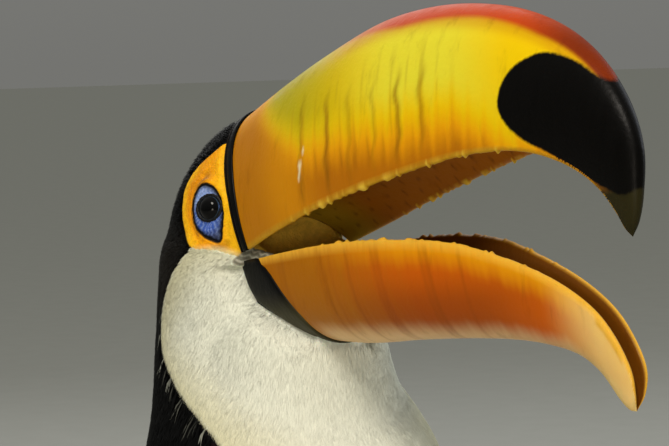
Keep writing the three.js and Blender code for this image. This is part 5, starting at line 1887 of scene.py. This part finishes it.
@dataclass(frozen=True)
class Coverts:
    """Coverts at the tail's root, above it (side 1) or below it (side -1), sizes in mm."""

    name: str
    side: int
    length: float
    half: float
    thick: float
    code: str
    slot: str
    node: str  # the solid whose place they take
    bake_u: float  # where their unwrap starts


@dataclass
class Tail:
    """The tail's vanes, with white coverts above its root and red ones below."""

    form: Form
    length: float = 146.0
    middle: float = 3.0
    half_thick: float = 4.6
    pairs: int = 5
    start: float = 22.0
    half_width: float = 12.0
    black: str = "#090909"
    core_black: str = "#060606"
    coverts: tuple = (
        Coverts(
            "rump_coverts", 1, 66.0, 21.0, 9.0, "#efe9d4", "white_bib", "uppertail_coverts", 0.3
        ),
        Coverts(
            "vent_coverts", -1, 80.0, 19.0, 13.0, "#a3180f", "red_coverts", "undertail_coverts", 0.6
        ),
    )

    @staticmethod
    def straight(root: tuple, tip: tuple, droop: float = 0.0) -> At:
        """A vane's place function between two places in the tail's frame."""
        a, b = np.array(root, float), np.array(tip, float)

        def place(t: Array, y: Array, lift: Array) -> Array:
            points = a + (b - a) * t[:, None] + xyz(0, y, lift - droop * t * t)
            return to_bird(points, Axes.TAIL)

        return place

    def home(self, count: int, base: tuple[float, float]) -> Array:
        """Places for the tail's vanes on a free part of the unwrap."""
        u, v = base
        return np.stack([u + 0.008 * (np.arange(count) % 20), v + 0.008 * (np.arange(count) // 20)], -1)

    def build_vanes(self, soft: Material) -> None:
        """The long vanes, from the outer pairs up to the middle pair, over a small core."""
        rows = []
        for pair in range(self.pairs):
            z = 5.7 - 1.4 * pair
            for side in SIDES.values():
                height = z + (1.2 if pair == 0 and side > 0 else 0)
                root = (self.start, side * (3 + 2.6 * pair), height)
                tip = (self.length - 3.5 * pair, side * (7 + 4.3 * pair), height)
                rows.append((self.straight(root, tip), self.half_width))
        shape = VaneShape(40, 11, FLIGHT.outline, 0.6, 0.08)
        home = self.home(len(rows), (0.02, 0.985))
        made = vanes("tail_vanes", shape, rows, linear(self.black), home, 71)
        dress(made, soft, "black_plumage", ("tail",))

        def lay(u: Array, v: Array) -> Sheet:
            x = 1 + u * self.length * 0.35
            half = 18 + 4.5 * u
            thick = self.half_thick * (1 - 0.45 * u)
            c, s = self.form.round(2 * np.pi * v)
            places = xyz(x, half * s * 0.95, self.middle + thick * c)
            tone = plain(self.core_black, places)
            return places, {"tone": tone, "along": u, "barb": 0 * u}

        dress(laid("tail_core", 40, 40, lay, Axes.TAIL), soft, "black_plumage")

    def build_coverts(self, coverts: Coverts, soft: Material) -> None:
        """Coverts in rows, over a core of their own.

        Args:
            coverts: Which of the two sets.
            soft: The feathers' material.
        """
        rows = []
        side, length, half, thick = coverts.side, coverts.length, coverts.half, coverts.thick
        face = side * (self.half_thick + 0.3)
        random = np.random.default_rng(83)
        for tier in range(9):
            start, end = tier / 12 * length - 4, (1 - tier / 13) * length
            rise = thick * (0.25 + 0.08 * tier)
            for k in range(9):
                off = (k - 4 + 0.5 * (tier % 2)) / 4.5
                reach = (end if tier == 0 else start + 26) * (1 - 0.12 * off * off)
                reach = reach * random.uniform(0.95, 1.05)
                reach = min(reach, length * (1 - 0.1 * off * off))
                drop = thick * (1 - (start / length)) * (0.75 + 0.25 * math.cos(off * 1.3))
                end_height = 1.2 + max(0.0, thick * (1 - reach / length)) * 0.75
                root = (start, off * half * 0.82, self.middle + face + side * min(rise, drop))
                tip = (reach, off * half * 0.95, self.middle + face + side * end_height)
                rows.append((self.straight(root, tip), 4.6 * random.uniform(0.9, 1.1)))
        home = self.home(len(rows), (coverts.bake_u, 0.985))
        made = vanes(coverts.name, COVERT, rows, linear(coverts.code), home, 91)
        dress(made, soft, coverts.slot, (coverts.node,))

        def lay(u: Array, v: Array) -> Sheet:
            x = 0.3 + u * length * 0.5
            high = thick * np.interp(u, [0, 0.5, 1], [0.92, 0.68, 0.25])
            c, s = self.form.round(2 * np.pi * v)
            places = xyz(x, half * 0.95 * s, self.middle + face + side * high * (0.5 + 0.5 * c))
            tone = plain(coverts.code, places) * 0.8
            return places, {"tone": tone, "along": u, "barb": 0 * u}

        core = laid(f"{coverts.name}_core", 30, 36, lay, Axes.TAIL)
        dress(core, soft, coverts.slot)

    def build(self, soft: Material, white: Material) -> None:
        """Makes the tail and its coverts."""
        self.build_vanes(soft)
        for coverts in self.coverts:
            self.build_coverts(coverts, white)


# ---- feet


@dataclass(frozen=True)
class Toe:
    """One toe: the way it points from straight ahead, outwards, its length and its claw's."""

    name: str
    turn: float
    length: float
    end: float
    claw: float


@dataclass
class Feet:
    """Scaled legs and toes, and their claws."""

    ball: tuple = (-22.0, 31.0, 7.0)
    heel: tuple = (-44.0, 31.0, 64.0)
    toes: tuple = (
        Toe("outer_front", 13, 42, 3.1, 13), Toe("inner_front", -13, 30, 2.9, 11),
        Toe("outer_rear", 160, 37, 3.0, 12), Toe("inner_rear", -163, 23, 2.7, 9),
    )
    scute: float = 3.4
    voxel: float = 0.62

    def plates(self, bird: Array, side: float) -> Array:
        """The relief of the plates across the shin's front and the toes' tops, in mm."""
        ball, heel = np.array(self.ball) * (1, side, 1), np.array(self.heel) * (1, side, 1)
        on_leg = bird[:, 2] > 14
        along_leg = (bird - ball) @ unit(heel - ball)
        along_toe = np.hypot(bird[:, 0] - ball[0], bird[:, 1] - ball[1])
        place = np.where(on_leg, along_leg, along_toe) / self.scute
        off = np.abs(place - np.round(place)) * self.scute
        groove = -0.6 * np.exp(-((off / 0.5) ** 2))
        behind = self.axis_x(bird[:, 2]) - bird[:, 0]
        front = np.where(on_leg, ease(1.5, -1.0, behind), ease(1.5, 3.5, bird[:, 2]))
        pebbles = np.array([noise.noise(Vector(p * 1.1)) for p in bird]) * 0.16
        return groove * front + pebbles * (1 - front)

    def axis_x(self, z: Array) -> Array:
        """How far along X the shin's axis lies at a height."""
        return np.interp(z, [self.ball[2], self.heel[2]], [self.ball[0], self.heel[0]])

    def build_leg(self, name: str, side: float, skin: Material) -> None:
        """A leg from its solid: merged, made fine, smoothed, and given its plates."""
        shape = bmesh.new()
        shape.from_mesh(frame["nodes"][f"foot_{name}"].data)
        bmesh.ops.remove_doubles(shape, verts=shape.verts, dist=0.00001)
        made = finished(f"leg_{name}", shape)
        modified(made, "REMESH", mode="VOXEL", voxel_size=self.voxel * MM)
        bird = unworld(vertices(made.data))
        relaxed(made.data, np.where(bird[:, 2] > 0.8, 0.5, 0.1), 5)
        bird = unworld(vertices(made.data))
        plates = self.plates(bird, side)
        write_marks(made.data, {"seam": ease(-0.1, -0.4, plates) * 0.75})
        out = plates * ease(0.3, 1.5, bird[:, 2]) * MM
        moved = vertices(made.data) + vertices(made.data, "normal") * out[:, None]
        moved[:, 2] = moved[:, 2].clip(0, None)
        move_vertices(made.data, moved)
        dress(made, skin, "leg_skin", (f"foot_{name}",))

    def claw(self, toe: Toe, side: float) -> Lay:
        """A claw, curved down to its tip, deeper than wide."""
        ball = np.array(self.ball) * (1, side, 1)
        turn = math.radians(toe.turn)
        way = np.array([math.cos(turn), side * math.sin(turn), 0])
        across = np.array([-way[1], way[0], 0])

        def lay(u: Array, v: Array) -> Sheet:
            out = toe.length - 1.0 + (toe.claw + 0.5) * u
            rise = toe.end - 0.1 + 1.6 * np.sin(np.pi * u) * 0.9 - (toe.end - 1.0) * u**2
            radius = toe.end * 0.74 * (1 - u) ** 0.75 + 0.02
            c, s = np.cos(2 * np.pi * v), np.sin(2 * np.pi * v)
            centre = ball * (1, 1, 0) + out[:, None] * way + xyz(0, 0, rise)
            return centre + (radius * s * 0.8)[:, None] * across + xyz(0, 0, radius * c * 1.1), {}

        return lay

    def build(self, skin: Material, horn: Material) -> None:
        """Makes both feet and their claws."""
        for name, side in SIDES.items():
            self.build_leg(name, side, skin)
            for toe in self.toes:
                made = laid(f"talon_{toe.name}_{name}", 36, 24, self.claw(toe, side), Axes.BIRD)
                dress(made, horn, "claw", (f"claw_{toe.name}_{name}",))


# ---- studio


@dataclass
class Studio:
    """A pale floor, soft lamps and the camera."""

    yaw: float = 57.5  # the camera's turn from looking across the head, degrees
    pitch: float = 11.5
    roll: float = -10.9
    distance: float = 928.0
    mark: tuple = (0.0, -22.0, 0.0)  # a place on the head, and the pixel it falls on
    mark_pixel: tuple = (243.9, 247.5)
    focal_pixels: float = 2791.0
    sensor: float = 36.0
    floor_size: float = 90.0
    floor_tones: tuple[str, str] = ("#a9aaa4", "#afb0aa")
    sky_tone: str = "#f0f0e9"
    aim: tuple = (0.08, 0.0, 0.3)  # what the lamps face, in metres
    # each lamp's name, place in metres, width in metres, power in watts and colour
    lamps: tuple = (
        ("key", (1.15, -1.05, 1.9), 0.8, 33, "#fff6ea"),
        ("fill", (0.2, 1.9, 1.1), 1.6, 12, "#eef4ff"),
        ("back", (-1.5, 0.5, 1.3), 1.2, 5, "#ffffff"),
        ("low", (1.4, -1.1, 0.12), 0.6, 7, "#fff2e0"),
    )

    def camera(self) -> None:
        """Places the camera by the head's frame."""
        yaw, pitch, roll = (math.radians(a) for a in (self.yaw, self.pitch, self.roll))
        level = math.cos(pitch)
        ahead = np.array([-math.sin(yaw) * level, math.cos(yaw) * level, math.sin(pitch)])
        right = unit(np.cross(ahead, [0.0, 0.0, 1.0]))
        up = np.cross(right, ahead)
        c, s = math.cos(roll), math.sin(roll)
        right, up = right * c + up * s, up * c - right * s
        px, py = self.mark_pixel[0] - IMAGE[0] / 2, self.mark_pixel[1] - IMAGE[1] / 2
        off = (right * px - up * py) / self.focal_pixels * self.distance + ahead * self.distance
        place = world(np.array(self.mark) - off, Axes.HEAD)
        axes = [nose_up(axis, HEAD_PITCH) for axis in (right, up, -ahead)]
        data = bpy.data.cameras.new("camera")
        data.lens = self.focal_pixels / IMAGE[0] * self.sensor
        data.sensor_width = self.sensor
        data.clip_start, data.clip_end = 0.05, 120
        made = bpy.data.objects.new("camera", data)
        turn = Matrix([list(column) for column in zip(*axes)])
        made.matrix_world = Matrix.Translation(Vector(place)) @ turn.to_4x4()
        bpy.context.scene.collection.objects.link(made)
        bpy.context.scene.camera = made

    def lamp(self, name: str, place: tuple, size: float, power: float, code: str) -> None:
        """One soft area lamp, aimed at a place.

        Args:
            name: Its name.
            place: Where it stands, in metres.
            size: Its width.
            power: In watts.
            code: Its colour.
        """
        data = bpy.data.lights.new(name, "AREA")
        data.shape, data.size, data.energy = "DISK", size, power
        data.color = linear(code)
        made = bpy.data.objects.new(name, data)
        made.location = place
        made.rotation_euler = (Vector(self.aim) - Vector(place)).to_track_quat("-Z", "Y").to_euler()
        bpy.context.scene.collection.objects.link(made)

    def sky(self) -> None:
        """The light from all round: paler overhead, and as dark as the far floor at its rim."""
        made = bpy.data.worlds.new("studio")
        bpy.context.scene.world = made
        made.use_nodes = True
        tree = made.node_tree
        way = add(tree, "TexCoord").outputs["Generated"]
        rise = add(tree, "SeparateXYZ", {0: way}).outputs["Z"]
        shade = add(tree, "MapRange", {0: rise, 1: 0.0, 2: 0.9, 3: 0.2, 4: 0.5}).outputs[0]
        background = tree.nodes["Background"]
        background.inputs["Color"].default_value = rgba(self.sky_tone)
        tree.links.new(shade, background.inputs["Strength"])

    def build(self) -> None:
        """Makes the floor, the light and the camera."""
        shape = bmesh.new()
        bmesh.ops.create_grid(shape, x_segments=2, y_segments=2, size=self.floor_size / 2)
        floor = finished("floor", shape)
        material, tree = blank("studio_floor_matt_paint")
        place = add(tree, "TexCoord").outputs["Object"]
        grain = add(tree, "TexNoise", {"Vector": place, "Scale": 30.0}).outputs["Fac"]
        dark, pale = (rgba(code) for code in self.floor_tones)
        tone = add(tree, "MixRGB", {0: grain, 1: dark, 2: pale}).outputs[0]
        surface(tree, {"Base Color": tone, "Roughness": 1.0, "Specular IOR Level": 0.0})
        floor.data.materials.append(material)
        for lamp in self.lamps:
            self.lamp(*lamp)
        self.sky()
        bpy.context.scene.view_settings.view_transform = "Standard"
        self.camera()


def main() -> None:
    """Builds the bird's pieces in order, and the studio round it."""
    logging.basicConfig(level=logging.INFO, format="%(message)s")
    form, marks = Form(), Markings()
    horn = GrownHorn().build()
    dull = GrownHorn("bill_band_keratin_matt", gloss=0.08, glow=0.0).build()
    dark_barbs = Plumage("body_barbs_preened", 0.3, 0.42, 0.0, 0.1).build()
    white_barbs = Plumage("bib_barbs_fine", 0.05, 0.8, 0.1, 0.1).build()
    vane = Plumage("flight_feathers_preened", 0.2, 0.4, 0.0, 0.2).build()
    dark_skin = PlainSkin("lid_skin_creased", "#08090b", "#020202", 0.8, 0.5).build()
    leg_skin = PlainSkin("leg_scutes_dry", "#7d92a6", "#5b7085", 1.2, 0.5, "#2c3743").build()
    claw_horn = PlainSkin("claw_keratin_grown", "#1d1b1a", "#080808", 2.5, 0.32).build()
    upper, lower = UpperBill(), LowerBill()
    upper.build(horn, dull)
    lower.build(horn, dull)
    Tongue().build()
    skin = Skin(form, marks, upper, lower).build(BareSkin().build())
    Eyes().build(WetEye().build(), dark_skin)
    Coat(form, marks, upper, lower).build(skin, (dark_barbs, white_barbs))
    for name, side in SIDES.items():
        Wing(form).build(name, side, vane)
    Tail(form).build(vane, white_barbs)
    Feet().build(leg_skin, claw_horn)
    Studio().build()


if __name__ == "__main__":
    main()
